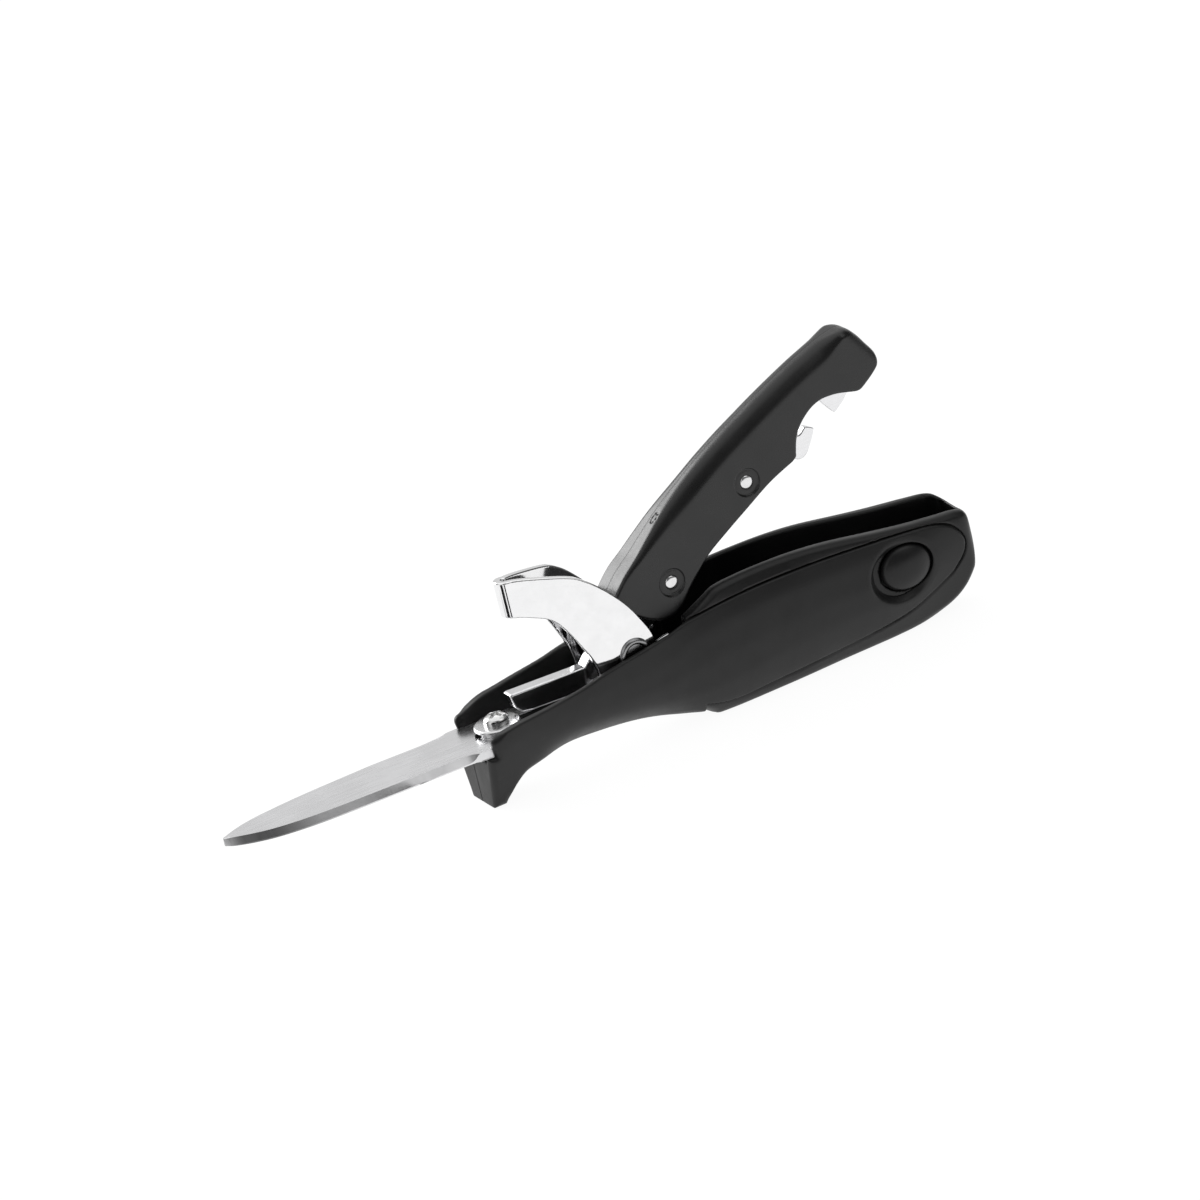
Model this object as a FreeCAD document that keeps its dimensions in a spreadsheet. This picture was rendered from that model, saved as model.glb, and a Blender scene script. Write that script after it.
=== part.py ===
import FreeCAD, Part
import math
import os
from FreeCAD import Vector, Placement, Rotation

# One-hand lever opener for shellfish. +X runs from the blade to the rear of the handle, +Y to the far side
# (the near cover carries the lock's push face at rest), +Z up. The handle rests on its flat underside.
# Every piece is drawn about the lever's pivot axis and then placed at (pivot_x, 0, pivot_z).

doc = FreeCAD.newDocument("LeverOpener")
sheet = doc.addObject("Spreadsheet::Sheet", "Sizes")
SIZES = [
    ("pivot_x", 7.87), ("pivot_z", 26.2),
    ("core_thick", 2.2), ("scale_thick", 4.4), ("jaw_width", 4.2),
    ("blade_thick", 2.4), ("blade_top", -8.4), ("screw_x", -38.4),
    ("washer_r", 6.3), ("washer_thick", 1.0), ("screw_head_r", 3.5), ("screw_shank_r", 1.9),
    ("plate_thick", 1.6), ("plate_half", 9.2),
    ("rivet_r", 3.6), ("rivet_bore", 2.7), ("rivet_flange", 4.5), ("rivet_half", 9.4), ("rivet_head", 0.9),
    ("bush_bore", 3.66), ("bush_r", 4.9), ("bush_half", 7.2),
    ("strap_thick", 2.0), ("arm_half", 9.4), ("nose_r", 2.9),
    ("stop_r", 1.25), ("stop_x", -7.3), ("stop_z", -9.0),
    ("lever_rivet_r", 1.8), ("lever_recess_r", 3.8), ("lever_recess", 0.5),
    ("lock_x", 78.9), ("face_x", 81.2), ("lock_z", -8.5), ("face_z", -7.2), ("neck_r", 1.7), ("collar_r", 3.3), ("lock_travel", 2.5),
    ("wire_r", 0.6), ("coil_r", 5.75), ("leg_y", 4.25),
    ("trough_half", 6.4), ("trough_floor", -14.6), ("frame_half", 9.9),
    ("base_z", -26.2), ("shell_max", 12.9),
]
for row, (word, value) in enumerate(SIZES, start=1):
    sheet.set("A%d" % row, word)
    sheet.set("B%d" % row, str(value))
    sheet.setAlias("B%d" % row, word)
doc.recompute()


def size(word):
    return float(sheet.get(word))


PARTS = []


def place(obj, dx="0", dy="0", dz="0"):
    obj.setExpression("Placement.Base.x", "Sizes.pivot_x + " + dx)
    obj.setExpression("Placement.Base.y", dy)
    obj.setExpression("Placement.Base.z", "Sizes.pivot_z + " + dz)


def keep(obj, label):
    obj.Label = label
    PARTS.append(obj)
    return obj


def new_body(label, dx="0", dy="0", dz="0"):
    body = doc.addObject("PartDesign::Body", label)
    keep(body, label)
    place(body, dx, dy, dz)
    return body


def plane(body, role):
    for item in body.Origin.OriginFeatures:
        if item.Role == role:
            return item
    raise RuntimeError("no plane " + role)


def new_sketch(body, role, name, offset=0.0):
    sketch = body.newObject("Sketcher::SketchObject", name)
    sketch.AttachmentSupport = [(plane(body, role), "")]
    sketch.MapMode = "FlatFace"
    sketch.AttachmentOffset = Placement(Vector(0, 0, offset), Rotation())
    return sketch


def outline(sketch, points):
    import Sketcher
    first = sketch.GeometryCount
    count = len(points)
    for i in range(count):
        a, b = points[i], points[(i + 1) % count]
        sketch.addGeometry(Part.LineSegment(Vector(a[0], a[1], 0), Vector(b[0], b[1], 0)), False)
    for i in range(count):
        sketch.addConstraint(Sketcher.Constraint("Coincident", first + i, 2, first + (i + 1) % count, 1))


def ring(sketch, x, y, radius_words):
    import Sketcher
    index = sketch.addGeometry(Part.Circle(Vector(x, y, 0), Vector(0, 0, 1), 1.0), False)
    number = sketch.addConstraint(Sketcher.Constraint("Radius", index, 1.0))
    sketch.setExpression("Constraints[%d]" % number, radius_words)


def symmetric(feature):
    if hasattr(feature, "SideType"):
        feature.SideType = "Symmetric"
    else:
        feature.Midplane = True


def pad(body, sketch, length, both=False, reverse=False):
    feature = body.newObject("PartDesign::Pad", body.Name + "_pad")
    feature.Profile = sketch
    if both:
        symmetric(feature)
    feature.Reversed = reverse
    feature.setExpression("Length", length)
    sketch.Visibility = False
    return feature


def revolve(body, sketch):
    feature = body.newObject("PartDesign::Revolution", body.Name + "_turn")
    feature.Profile = sketch
    feature.ReferenceAxis = (sketch, ["V_Axis"])
    feature.Angle = 360.0
    return feature


def spline(points, per=6):
    """Points of a smooth open curve through the given ones (Catmull-Rom)."""
    out = []
    n = len(points)
    for i in range(n - 1):
        p0 = points[max(i - 1, 0)]
        p1, p2 = points[i], points[i + 1]
        p3 = points[min(i + 2, n - 1)]
        for k in range(per):
            t = k / per
            out.append(tuple(
                0.5 * ((2 * p1[j]) + (-p0[j] + p2[j]) * t + (2 * p0[j] - 5 * p1[j] + 4 * p2[j] - p3[j]) * t * t
                       + (-p0[j] + 3 * p1[j] - 3 * p2[j] + p3[j]) * t ** 3) for j in range(2)))
    out.append(tuple(points[-1]))
    return out


def slab(points, y0, y1):
    """A prism between y0 and y1 over an outline of (x, z) points."""
    wire = Part.makePolygon([Vector(x, y0, z) for x, z in points] + [Vector(points[0][0], y0, points[0][1])])
    return Part.Face(wire).extrude(Vector(0, y1 - y0, 0))


def slab_z(points, z0, z1):
    """A prism between z0 and z1 over an outline of (x, y) points."""
    wire = Part.makePolygon([Vector(x, y, z0) for x, y in points] + [Vector(points[0][0], points[0][1], z0)])
    return Part.Face(wire).extrude(Vector(0, 0, z1 - z0))


def rod_y(x, z, radius, y0, y1):
    return Part.makeCylinder(radius, y1 - y0, Vector(x, y0, z), Vector(0, 1, 0))


# ---------------------------------------------------------------- side profiles, about the pivot axis
SHELL_TOP = [(-43.6, -10.8), (-43.6, -6.6), (-42.8, -5.7), (-37, -3.9), (-28, -2.7), (-18, -1.2), (-11, 0.2), (0, 1.3), (9, 2.2),
             (16, 3.5), (26, 4.4), (36.9, 4.8), (47, 4.7), (57.8, 4.3), (72, 3.2), (85, 1.9), (93, 0.7), (97.0, -1.2),
             (99.6, -4.6)]
SHELL_LOW = [(100.2, -7.2), (98.6, -10.6), (94.9, -14.3), (88, -17.4), (79.5, -20.1), (65, -21.8), (51, -22.5),
             (40, -22.9), (29.8, -23.3), (21, -23.9), (12.1, -22.0), (4.3, -19.7), (-2.3, -18.3), (-13.9, -16.9),
             (-27.9, -17.2), (-34.9, -17.6), (-37.8, -18.3), (-40.8, -20.4), (-42.8, -23.2), (-43.9, -25.6),
             (-45.0, -26.2), (-46.4, -26.2), (-47.3, -25.2), (-47.3, -10.8)]
FRAME_TOP = [(16.2, 4.6), (20, 6.2), (23.5, 7.8), (26, 8.9), (32, 9.8), (40, 10.0), (50, 9.8), (60.7, 9.0), (74, 7.2),
             (84, 5.2), (94, 2.8), (99.5, 1.0), (102.6, -0.8), (104.2, -3.4)]
FRAME_LOW = [(104.8, -7.0), (104.0, -11.6), (101.6, -16.2), (97.6, -20.6), (92, -23.6), (84, -25.4), (73.7, -26.2),
             (60, -26.2), (40, -26.2), (21.0, -26.2), (20.2, -25.2), (20.0, -23.9), (16.2, -23.0)]

# half-width of the covers against height at stations along the handle: x, [(z, half-width) ...]
STATIONS = [
    (-49.0, [(-4, 12.3), (-10, 11.3), (-15, 10.0), (-20, 8.7), (-24, 7.6), (-27, 7.0)]),
    (-40.0, [(-3, 12.5), (-8, 12.0), (-13, 10.6), (-18, 9.2), (-22, 8.0), (-27, 7.0)]),
    (-27.0, [(-2, 12.4), (-7, 12.2), (-11, 11.3), (-14, 10.0), (-16.2, 8.2), (-18, 6.2)]),
    (-12.0, [(1, 12.3), (-5, 12.4), (-10, 11.7), (-13.5, 10.4), (-16, 8.2), (-18, 5.6)]),
    (4.0, [(3, 12.0), (-5, 12.5), (-11, 12.1), (-15.5, 10.7), (-18.4, 8.6), (-20.5, 6.0)]),
    (20.0, [(5.5, 10.6), (-1, 12.1), (-9, 12.7), (-17, 11.9), (-21.5, 10.4), (-25, 8.6)]),
    (40.0, [(6, 10.2), (0.5, 12.0), (-8, 12.9), (-15, 12.5), (-20, 11.2), (-24, 9.7)]),
    (60.0, [(6, 10.2), (0, 12.0), (-8, 12.9), (-14, 12.5), (-19, 11.2), (-23, 9.7)]),
    (78.0, [(4, 10.2), (-1, 11.8), (-8, 12.6), (-14, 12.2), (-18, 11.0), (-22, 9.7)]),
    (92.0, [(3, 10.0), (-2, 11.2), (-7, 11.6), (-11, 11.2), (-14, 10.5), (-18, 9.6)]),
    (102.0, [(1, 9.4), (-3, 10.2), (-7, 10.5), (-10, 10.2), (-13, 9.9), (-16, 9.4)]),
]


def cover_block():
    wires = []
    for x, sides in STATIONS:
        ring_points = [Vector(x, w, z) for z, w in sides] + [Vector(x, -w, z) for z, w in reversed(sides)]
        wires.append(Part.makePolygon(ring_points + [ring_points[0]]))
    block = Part.makeLoft(wires, True, True)
    side = slab(SHELL_TOP + SHELL_LOW, -20, 20)
    return block.common(side)


# the open channel between the covers, from the blade's seat back to behind the pivot
CHANNEL = [(-60, 9.4), (-43.6, 9.5), (-30, 10.2), (-20, 10.7), (10, 10.7), (16.2, 10.0), (16.2, -10.0), (10, -10.7),
           (-20, -10.7), (-30, -10.2), (-43.6, -9.5), (-60, -9.4)]
LEDGE = (-22.0, 16.2, 4.9, -15.6)      # the frame's forward tongue under the chassis plate: x0, x1, half width, low z
SCREW_FRONT = (-30.0, -14.9)
SCREW_REAR = [(30.0, -18.6), (70.0, -17.6)]
LOCK = (size("lock_x"), size("lock_z"))
FACE_X = size("face_x")
FACE_Z = size("face_z")


def round_end(x_end, half, radius):
    """A squared end with rounded corners, from +half to -half."""
    first = [(x_end - radius + radius * math.sin(a), half - radius + radius * math.cos(a)) for a in [math.pi * k / 12 for k in range(7)]]
    return first + [(x, -y) for x, y in reversed(first)]


def trough_cut():
    half = size("trough_half")
    floor = size("trough_floor")
    plan = [(10.0, half)] + round_end(103.0, half, 3.0) + [(10.0, -half)]
    side = [(10, 30), (110, 30), (110, -6.6), (103.3, -7.6), (102.9, -10.6), (101.6, -13.2), (100.2, floor), (16, floor), (10, -10.8)]
    return slab_z(plan, floor - 1, 30).common(slab(side, -10, 10))


def frame_shape():
    half = size("frame_half")
    solid = slab(FRAME_TOP + FRAME_LOW, -half, half)
    solid = solid.common(slab_z([(0, half)] + round_end(104.8, half, 6.0) + [(0, -half)], -40, 30))
    # the underside narrows to the flat it rests on
    low = size("base_z")
    section = [Vector(0, 9.9, 20), Vector(0, 9.9, -23.4), Vector(0, 9.6, -25.0), Vector(0, 8.6, low), Vector(0, -8.6, low),
               Vector(0, -9.6, -25.0), Vector(0, -9.9, -23.4), Vector(0, -9.9, 20)]
    solid = solid.common(Part.Face(Part.makePolygon(section + [section[0]])).extrude(Vector(130, 0, 0)))
    x0, x1, wide, low_z = LEDGE
    solid = solid.fuse(Part.makeBox(x1 - x0 + 3, 2 * wide, -12.4 - low_z, Vector(x0, -wide, low_z)))
    solid = solid.cut(trough_cut())
    solid = solid.cut(Part.makeBox(8, 20, 60, Vector(8.2, -10, -12.4)))          # open front of the trough
    for x, z in SCREW_REAR:
        solid = solid.cut(rod_y(x, z, 1.25, -20, 20))
    for x in (-14.0, 5.0):
        solid = solid.cut(Part.makeCylinder(1.5, 4.0, Vector(x, 0, -15.4), Vector(0, 0, 1)))
    solid = solid.cut(rod_y(LOCK[0], LOCK[1], 1.78, -20, 20))
    pocket = button_prism(0.3, -9.9, -7.1).fuse(button_prism(0.3, 7.1, 9.9))
    solid = solid.cut(pocket)
    return solid.removeSplitter()


def button_prism(grow, y0, y1):
    a, b = 7.6 + grow, 6.3 + grow
    points = [(FACE_X + a * math.cos(t), FACE_Z + b * math.sin(t)) for t in [2 * math.pi * k / 40 for k in range(40)]]
    return slab(points, y0, y1)


def cover_shape(sign):
    solid = cover_block()
    keep_half = Part.makeBox(300, 40, 100, Vector(-150, 0 if sign > 0 else -40, -60))
    solid = solid.common(keep_half)
    solid = solid.cut(slab_z(CHANNEL, -12.4, 30))
    half = size("frame_half")
    x0, x1, wide, low_z = LEDGE
    solid = solid.cut(Part.makeBox(100, 2 * half, 60, Vector(16.2, -half, -40)))
    solid = solid.cut(Part.makeBox(x1 - x0 + 1, 2 * wide, -12.4 - low_z, Vector(x0, -wide, low_z)))
    # the nut's pocket and the blade's seat
    solid = solid.cut(Part.makeCylinder(3.9, 3.0, Vector(size("screw_x"), 0, -15.4), Vector(0, 0, 1)))
    # fasteners
    x, z = SCREW_FRONT
    solid = solid.cut(rod_y(x, z, 1.2, -9.0, 9.0))
    solid = solid.cut(rod_y(x, z, 2.15, 7.4, 20))
    for x, z in SCREW_REAR:
        solid = solid.cut(rod_y(x, z, 1.2, -10.7, 11.0))
        solid = solid.cut(rod_y(x, z, 2.15, 10.0, 20))
    # the lock's openings
    solid = solid.cut(button_prism(0.3, -20, 20))
    return solid.removeSplitter()


def feature(label, shape, dx=0.0, dz=0.0):
    obj = doc.addObject("Part::Feature", label)
    if shape.ShapeType != "Solid" and len(shape.Solids) == 1:
        shape = shape.Solids[0]
    obj.Shape = shape
    obj.Placement = Placement(Vector(size("pivot_x") + dx, 0, size("pivot_z") + dz), Rotation())
    return keep(obj, label)


feature("handle_frame", frame_shape())
feature("handle_cover_near", cover_shape(-1))
feature("handle_cover_far", cover_shape(1))

# ---------------------------------------------------------------- chassis plate and blade
body = new_body("chassis_plate")
s = new_sketch(body, "XY_Plane", "chassis_outline", -12.4)
outline(s, [(-43.4, -9.2), (14.0, -9.2), (14.0, 9.2), (-43.4, 9.2)])
ring(s, -38.4, 0, "Sizes.screw_shank_r")
ring(s, -14.0, 0, "1.5")
ring(s, 5.0, 0, "1.5")
pad(body, s, "Sizes.plate_thick")

edge = spline([(-47.6, 10.0), (-60, 9.7), (-75, 9.7), (-88, 9.4), (-96, 9.0), (-103, 8.0), (-109, 6.4), (-114, 4.5), (-117, 2.9)], 4)
tip = [(-119.0 - 1.55 * math.cos(a), -1.62 * math.sin(a)) for a in [math.pi * (k - 4) / 10 for k in range(9)]]
blade_points = ([(-27.0, -5.5), (-31.0, -9.0), (-44.0, -9.0), (-45.2, -9.8)] + [(x, -w) for x, w in edge]
                + [(x, -y) for x, y in tip]
                + [(x, w) for x, w in reversed(edge)] + [(-45.2, 9.8), (-44.0, 9.0), (-31.0, 9.0), (-27.0, 5.5)])
body = new_body("blade", "0", "0", "Sizes.blade_top - Sizes.blade_thick")
s = new_sketch(body, "XY_Plane", "blade_outline")
outline(s, blade_points)
ring(s, -38.4, 0, "Sizes.screw_shank_r")
pad(body, s, "Sizes.blade_thick")
doc.recompute()
# the ground bevels along both long edges, cut from above and below
EDGE = [(-48.2, 10.0)] + edge[1:]


def bevel(sign, top):
    z_flat = size("blade_top") if top else size("blade_top") - size("blade_thick")
    mid = size("blade_top") - size("blade_thick") / 2 + (0.3 if top else -0.3)
    wires = []
    for x, w in [(-49.0, 9.95), (-60, 9.3), (-75, 8.1), (-90, 6.8), (-100, 5.6), (-110, 3.9), (-117, 2.1), (-122, 1.2)]:
        out = 6.0
        inner = w - 2.1
        far_z = mid + (mid - z_flat) * (out - 2.1) / 2.1
        a = Vector(x, sign * inner, z_flat)
        b = Vector(x, sign * (inner + out), far_z)
        c = Vector(x, sign * (inner + out), z_flat)
        wires.append(Part.makePolygon([a, b, c, a]))
    return Part.makeLoft(wires, True, True)


blade_body = body
ground = body.Shape.copy()
ground.Placement = Placement()
base_cut = [bevel(sg, tp) for sg in (1, -1) for tp in (True, False)]
tool_shape = base_cut[0]
for other in base_cut[1:]:
    tool_shape = tool_shape.fuse(other)
tool = doc.addObject("Part::Feature", "bevel_tool")
tool.Shape = tool_shape
tool.Placement = Placement(Vector(size("pivot_x"), 0, size("pivot_z")), Rotation())
PARTS.remove(blade_body)
blade_body.Label = "blade_blank"
cut = doc.addObject("Part::Cut", "blade_cut")
cut.Base = blade_body
cut.Tool = tool
keep(cut, "blade")

# ---------------------------------------------------------------- blade fastening
body = new_body("blade_lock_washer", "Sizes.screw_x", "0", "Sizes.blade_top")
s = new_sketch(body, "XZ_Plane", "lock_washer_section")
outline(s, [(1.95, 0), (5.6, 0), (5.6, 0.9), (1.95, 0.9)])
revolve(body, s)
body = new_body("blade_washer", "Sizes.screw_x", "0", "Sizes.blade_top + 0.9")
s = new_sketch(body, "XZ_Plane", "washer_section")
outline(s, [(1.95, 0), (6.1, 0), (6.3, 0.2), (6.3, 0.8), (6.1, 1.0), (1.95, 1.0)])
revolve(body, s)
body = new_body("blade_screw", "Sizes.screw_x", "0", "Sizes.blade_top + 1.9")
s = new_sketch(body, "XZ_Plane", "screw_section")
outline(s, [(0, -8.2), (1.5, -8.2), (1.85, -7.8), (1.85, 0), (3.5, 0), (3.5, 0.9), (3.2, 1.45), (2.4, 1.85), (1.2, 2.05), (0, 2.1)])
revolve(body, s)
doc.recompute()
full = body.Shape.Volume
for number, points in enumerate(([(-1.9, -0.4), (1.9, -0.4), (1.9, 0.4), (-1.9, 0.4)],
                                 [(-0.4, -1.9), (0.4, -1.9), (0.4, 1.9), (-0.4, 1.9)])):
    s = new_sketch(body, "XY_Plane", "cross_recess_%d" % number, 2.3)
    outline(s, points)
    pocket = body.newObject("PartDesign::Pocket", "recess_%d" % number)
    pocket.Profile = s
    pocket.Length = 1.5
doc.recompute()
if body.Shape.Volume > full - 2.0:
    raise RuntimeError("the cross recess cut nothing")
body = new_body("blade_nut", "Sizes.screw_x", "0", "-14.6")
s = new_sketch(body, "XY_Plane", "nut_outline")
outline(s, [(3.8 * math.cos(math.pi * k / 3), 3.8 * math.sin(math.pi * k / 3)) for k in range(6)])
ring(s, 0, 0, "Sizes.screw_shank_r")
pad(body, s, "2.2")


# ---------------------------------------------------------------- stirrup: one bent strap, a loop in front of the pivot
UPPER = spline([(7.3, -0.4), (6.35, 2.5), (5.2, 5.6), (3.5, 9.0), (1.8, 12.1), (-0.7, 15.9), (-5.4, 21.4), (-8.8, 24.4),
                (-12.3, 26.4), (-20, 28.5), (-26.2, 29.7), (-33.2, 30.3)], 4)
LOWER = spline([(-33.2, 20.9), (-27.5, 19.6), (-22.5, 17.9), (-19.6, 16.6), (-17.4, 14.6), (-15.2, 11.0), (-13.1, 6.5),
                (-11.4, 2.7), (-10.4, -2.2), (-10.4, -8.0), (-9.8, -10.3), (-8.6, -10.7)], 4)
STIRRUP_SIDE = UPPER + LOWER + [(1.5, -10.7), (6.6, -6.5)]
NOSE_X = -29.9


def strap_plan(inset):
    """The loop's outline from above: a round nose, arms spreading, then parallel arms."""
    r = size("nose_r") - inset
    half = size("arm_half") - inset
    cx = NOSE_X + size("nose_r")
    spread = math.radians(17.5)
    points = []
    for k in range(13):
        a = math.pi - (math.pi / 2 + spread) * k / 12 * 1.0
        points.append((cx + r * math.cos(a), r * math.sin(a)))
    x1, y1 = points[-1]
    # straight spread up to the parallel part, with a soft knee
    run = (half - y1) / math.tan(spread)
    knee = x1 + run
    points.append((knee - 3.0, half - 3.0 * math.tan(spread)))
    points.append((knee - 1.0, half - 0.42))
    points.append((knee + 1.6, half))
    points.append((20.0, half))
    return points


def strap_ring(inset):
    side = strap_plan(inset)
    return side + [(x, -y) for x, y in reversed(side[1:])]


def stirrup_shape():
    outer = slab_z(strap_ring(0.0), -30, 40)
    inner = slab_z(strap_ring(size("strap_thick")), -31, 41)
    solid = outer.cut(inner).common(slab(STIRRUP_SIDE, -20, 20))
    solid = solid.cut(rod_y(0, 0, size("rivet_r"), -20, 20))
    solid = solid.cut(rod_y(size("stop_x"), size("stop_z"), size("stop_r"), -20, 20))
    return solid.removeSplitter()


feature("stirrup", stirrup_shape())

# ---------------------------------------------------------------- pivot rivet (a tube with rolled ends), stop pin
body = new_body("pivot_rivet")
s = new_sketch(body, "XY_Plane", "rivet_section")
outline(s, [(2.7, -10.3), (4.2, -10.3), (4.5, -10.0), (4.5, -9.4), (3.6, -9.4), (3.6, 9.4), (4.5, 9.4), (4.5, 10.0), (4.2, 10.3),
            (2.7, 10.3)])
revolve(body, s)

pin = doc.addObject("Part::Cylinder", "stop_pin")
pin.setExpression("Radius", "Sizes.stop_r")
pin.setExpression("Height", "2 * Sizes.arm_half")
pin.Placement = Placement(Vector(0, 0, 0), Rotation(Vector(1, 0, 0), -90))
place(pin, "Sizes.stop_x", "-Sizes.arm_half", "Sizes.stop_z")
keep(pin, "lever_stop_pin")

# ---------------------------------------------------------------- lever: steel core, jaw, two scales, bush
CORE = (
    [(-32.6, -2.6), (-14.6, -3.4), (-10.4, 0.9), (-7.0, 5.6), (-3.0, 9.6), (2.0, 14.8), (11.8, 21.6), (20.8, 28.0), (31.6, 33.7),
     (45.7, 40.4), (59.9, 47.7), (74.1, 54.9), (81.0, 57.6), (84.6, 52.0), (84.9, 49.0), (83.2, 46.6), (80.3, 45.0),
     (77.4, 44.6),
     # the cap lifter's tooth
     (76.6, 42.6), (74.9, 38.3), (74.0, 38.1), (72.6, 40.0), (70.6, 42.9), (69.6, 45.2), (66.6, 44.6), (63.4, 42.0),
     (61.0, 38.6), (60.6, 36.9),
     # the hook's tongue
     (62.2, 36.2), (63.4, 35.4), (64.4, 35.9), (65.6, 37.0), (66.9, 36.3), (68.2, 35.9), (67.2, 33.6), (65.2, 30.6),
     (63.6, 29.3), (61.8, 29.2), (60.4, 30.2), (58.6, 31.6),
     (48.3, 26.4), (37.7, 21.4), (29.4, 15.3), (24.9, 12.1), (17.8, 6.4), (10.5, 2.2), (7.2, -1.0), (5.6, -4.4), (2.6, -6.6),
     (-1.5, -7.1), (-8.0, -7.4), (-18.4, -7.2), (-28.6, -6.6), (-31.4, -5.9)]
)
body = new_body("lever_core")
s = new_sketch(body, "XZ_Plane", "core_outline")
outline(s, CORE)
ring(s, 0, 0, "Sizes.bush_r")
ring(s, 43.9, 30.8, "Sizes.lever_rivet_r")
ring(s, 16.6, 12.8, "Sizes.lever_rivet_r")
pad(body, s, "Sizes.core_thick", both=True)

JAW = [(-33.9, -1.2), (-14.3, -2.2), (-9.6, 2.3), (-8.6, 1.6), (-8.6, -6.9), (-18.4, -7.2), (-28.6, -6.6), (-31.6, -6.0), (-33.0, -4.2)]
jaw = slab(JAW, -size("jaw_width") / 2, size("jaw_width") / 2)
jaw = jaw.cut(slab(CORE, -size("core_thick") / 2, size("core_thick") / 2))
feature("cracker_jaw", jaw)

BACK = spline([(-3.2, 11.0), (3.3, 17.8), (8.6, 21.7), (12.9, 25.2), (20.0, 31.0), (30.7, 39.2), (40.0, 45.0), (47.9, 49.2),
               (55.0, 52.6), (64.4, 56.3), (70.0, 58.1), (75.0, 59.3), (80.0, 59.8)], 2)
SCALE = (BACK + [(82.8, 59.5), (84.6, 58.3), (86.4, 56.0), (88.1, 51.4), (88.6, 49.1), (88.0, 47.2), (86.4, 45.5), (84.0, 43.7),
                 (82.0, 42.5), (80.2, 42.4), (75.5, 43.6), (72.6, 44.2), (70.0, 44.2), (67.2, 43.3), (64.6, 41.6), (62.4, 39.4), (60.8, 36.6),
                 (59.8, 33.4), (59.6, 31.6), (58.2, 31.0)]
         + [(48.3, 26.2), (37.7, 21.6), (29.4, 15.8), (24.9, 12.4), (17.8, 7.2), (13.6, 7.0), (10.2, 8.1), (7.0, 9.4), (2.6, 10.9), (-0.4, 9.9)])


def scale_shape(sign):
    y0, y1 = (1.1, 5.5) if sign > 0 else (-5.5, -1.1)
    solid = slab(SCALE, y0, y1)
    # the lever's end is rounded in plan, seen square to its length when it is closed
    plan = slab_z([(-20, 5.5)] + round_end(102.4, 5.5, 4.0) + [(-20, -5.5)], -60, 60)
    plan.rotate(Vector(0, 0, 0), Vector(0, 1, 0), -36)
    solid = solid.common(plan)
    for x, z in ((43.9, 30.8), (16.6, 12.8)):
        solid = solid.cut(rod_y(x, z, size("lever_rivet_r"), -10, 10))
        if sign > 0:
            solid = solid.cut(rod_y(x, z, size("lever_recess_r"), 5.0, 10))
        else:
            solid = solid.cut(rod_y(x, z, size("lever_recess_r"), -10, -5.0))
    return solid


feature("lever_scale_near", scale_shape(-1))
feature("lever_scale_far", scale_shape(1))

rods = []
for number, (x, z) in enumerate(((43.9, 30.8), (16.6, 12.8))):
    rod = doc.addObject("Part::Cylinder", "lever_rivet_%d" % number)
    rod.setExpression("Radius", "Sizes.lever_rivet_r")
    rod.Height = 10.6
    rod.Placement = Placement(Vector(x, -5.3, z), Rotation(Vector(1, 0, 0), -90))
    place(rod, "%g" % x, "-5.3", "%g" % z)
    rods.append(rod)
pair = doc.addObject("Part::Compound", "lever_rivets_pair")
pair.Links = rods
keep(pair, "lever_rivets")

bush_out = doc.addObject("Part::Cylinder", "bush_outside")
bush_in = doc.addObject("Part::Cylinder", "bush_inside")
for rod, words in ((bush_out, "Sizes.bush_r"), (bush_in, "Sizes.bush_bore")):
    rod.setExpression("Radius", words)
    rod.setExpression("Height", "2 * Sizes.bush_half")
    rod.Placement = Placement(Vector(0, 0, 0), Rotation(Vector(1, 0, 0), -90))
    place(rod, "0", "-Sizes.bush_half", "0")
bush = doc.addObject("Part::Cut", "bush_cut")
bush.Base = bush_out
bush.Tool = bush_in
keep(bush, "pivot_bush")


# ---------------------------------------------------------------- return spring: a double torsion spring round the bush
def tube(points, radius):
    """A round wire along straight runs joined by spheres."""
    solid = None
    for a, b in zip(points, points[1:]):
        a, b = Vector(*a), Vector(*b)
        run = Part.makeCylinder(radius, (b - a).Length, a, b - a)
        solid = run if solid is None else solid.fuse(run)
        solid = solid.fuse(Part.makeSphere(radius, b))
    return solid


def coil(sign):
    """Three turns of wire side by side, turned as one ribbed sleeve."""
    r = size("coil_r")
    wire = size("wire_r")
    start = 1.1 + 0.15
    points = [(r - wire + 0.1, start)]
    for k in range(3):
        middle = start + wire + 2 * wire * k
        for j in range(1, 8):
            turn = math.pi * j / 8
            points.append((r + wire * math.sin(turn), middle - wire * math.cos(turn)))
    points.append((r - wire + 0.1, start + 6 * wire))
    wires = Part.makePolygon([Vector(x, sign * y, 0) for x, y in points] + [Vector(points[0][0], sign * points[0][1], 0)])
    return Part.Face(wires).revolve(Vector(0, 0, 0), Vector(0, 1, 0), 360)


def spring_shape():
    r = size("coil_r")
    wire = size("wire_r")
    y = size("leg_y")
    solid = None
    for sign in (1, -1):
        # rear leg: leaves the coil at its underside, runs back and down to the plate
        leg = tube([(0.6, sign * y, -r + 0.05), (7.2, sign * y, -5.0), (9.2, sign * y, -1.6), (12.6, sign * y, -0.9)], wire)
        piece = coil(sign).fuse(leg)
        solid = piece if solid is None else solid.fuse(piece)
    return solid


spring = spring_shape()
feature("return_spring", spring)

# ---------------------------------------------------------------- lock: a cross bolt with a push face at each end
body = new_body("lock_bolt", "Sizes.lock_x", "0", "Sizes.lock_z")
s = new_sketch(body, "XY_Plane", "bolt_section")
outline(s, [(0, -10.9), (1.7, -10.9), (1.7, -4.0), (3.3, -4.0), (3.3, -1.4), (1.7, -1.4), (1.7, 9.0), (0, 9.0)])
revolve(body, s)


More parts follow.
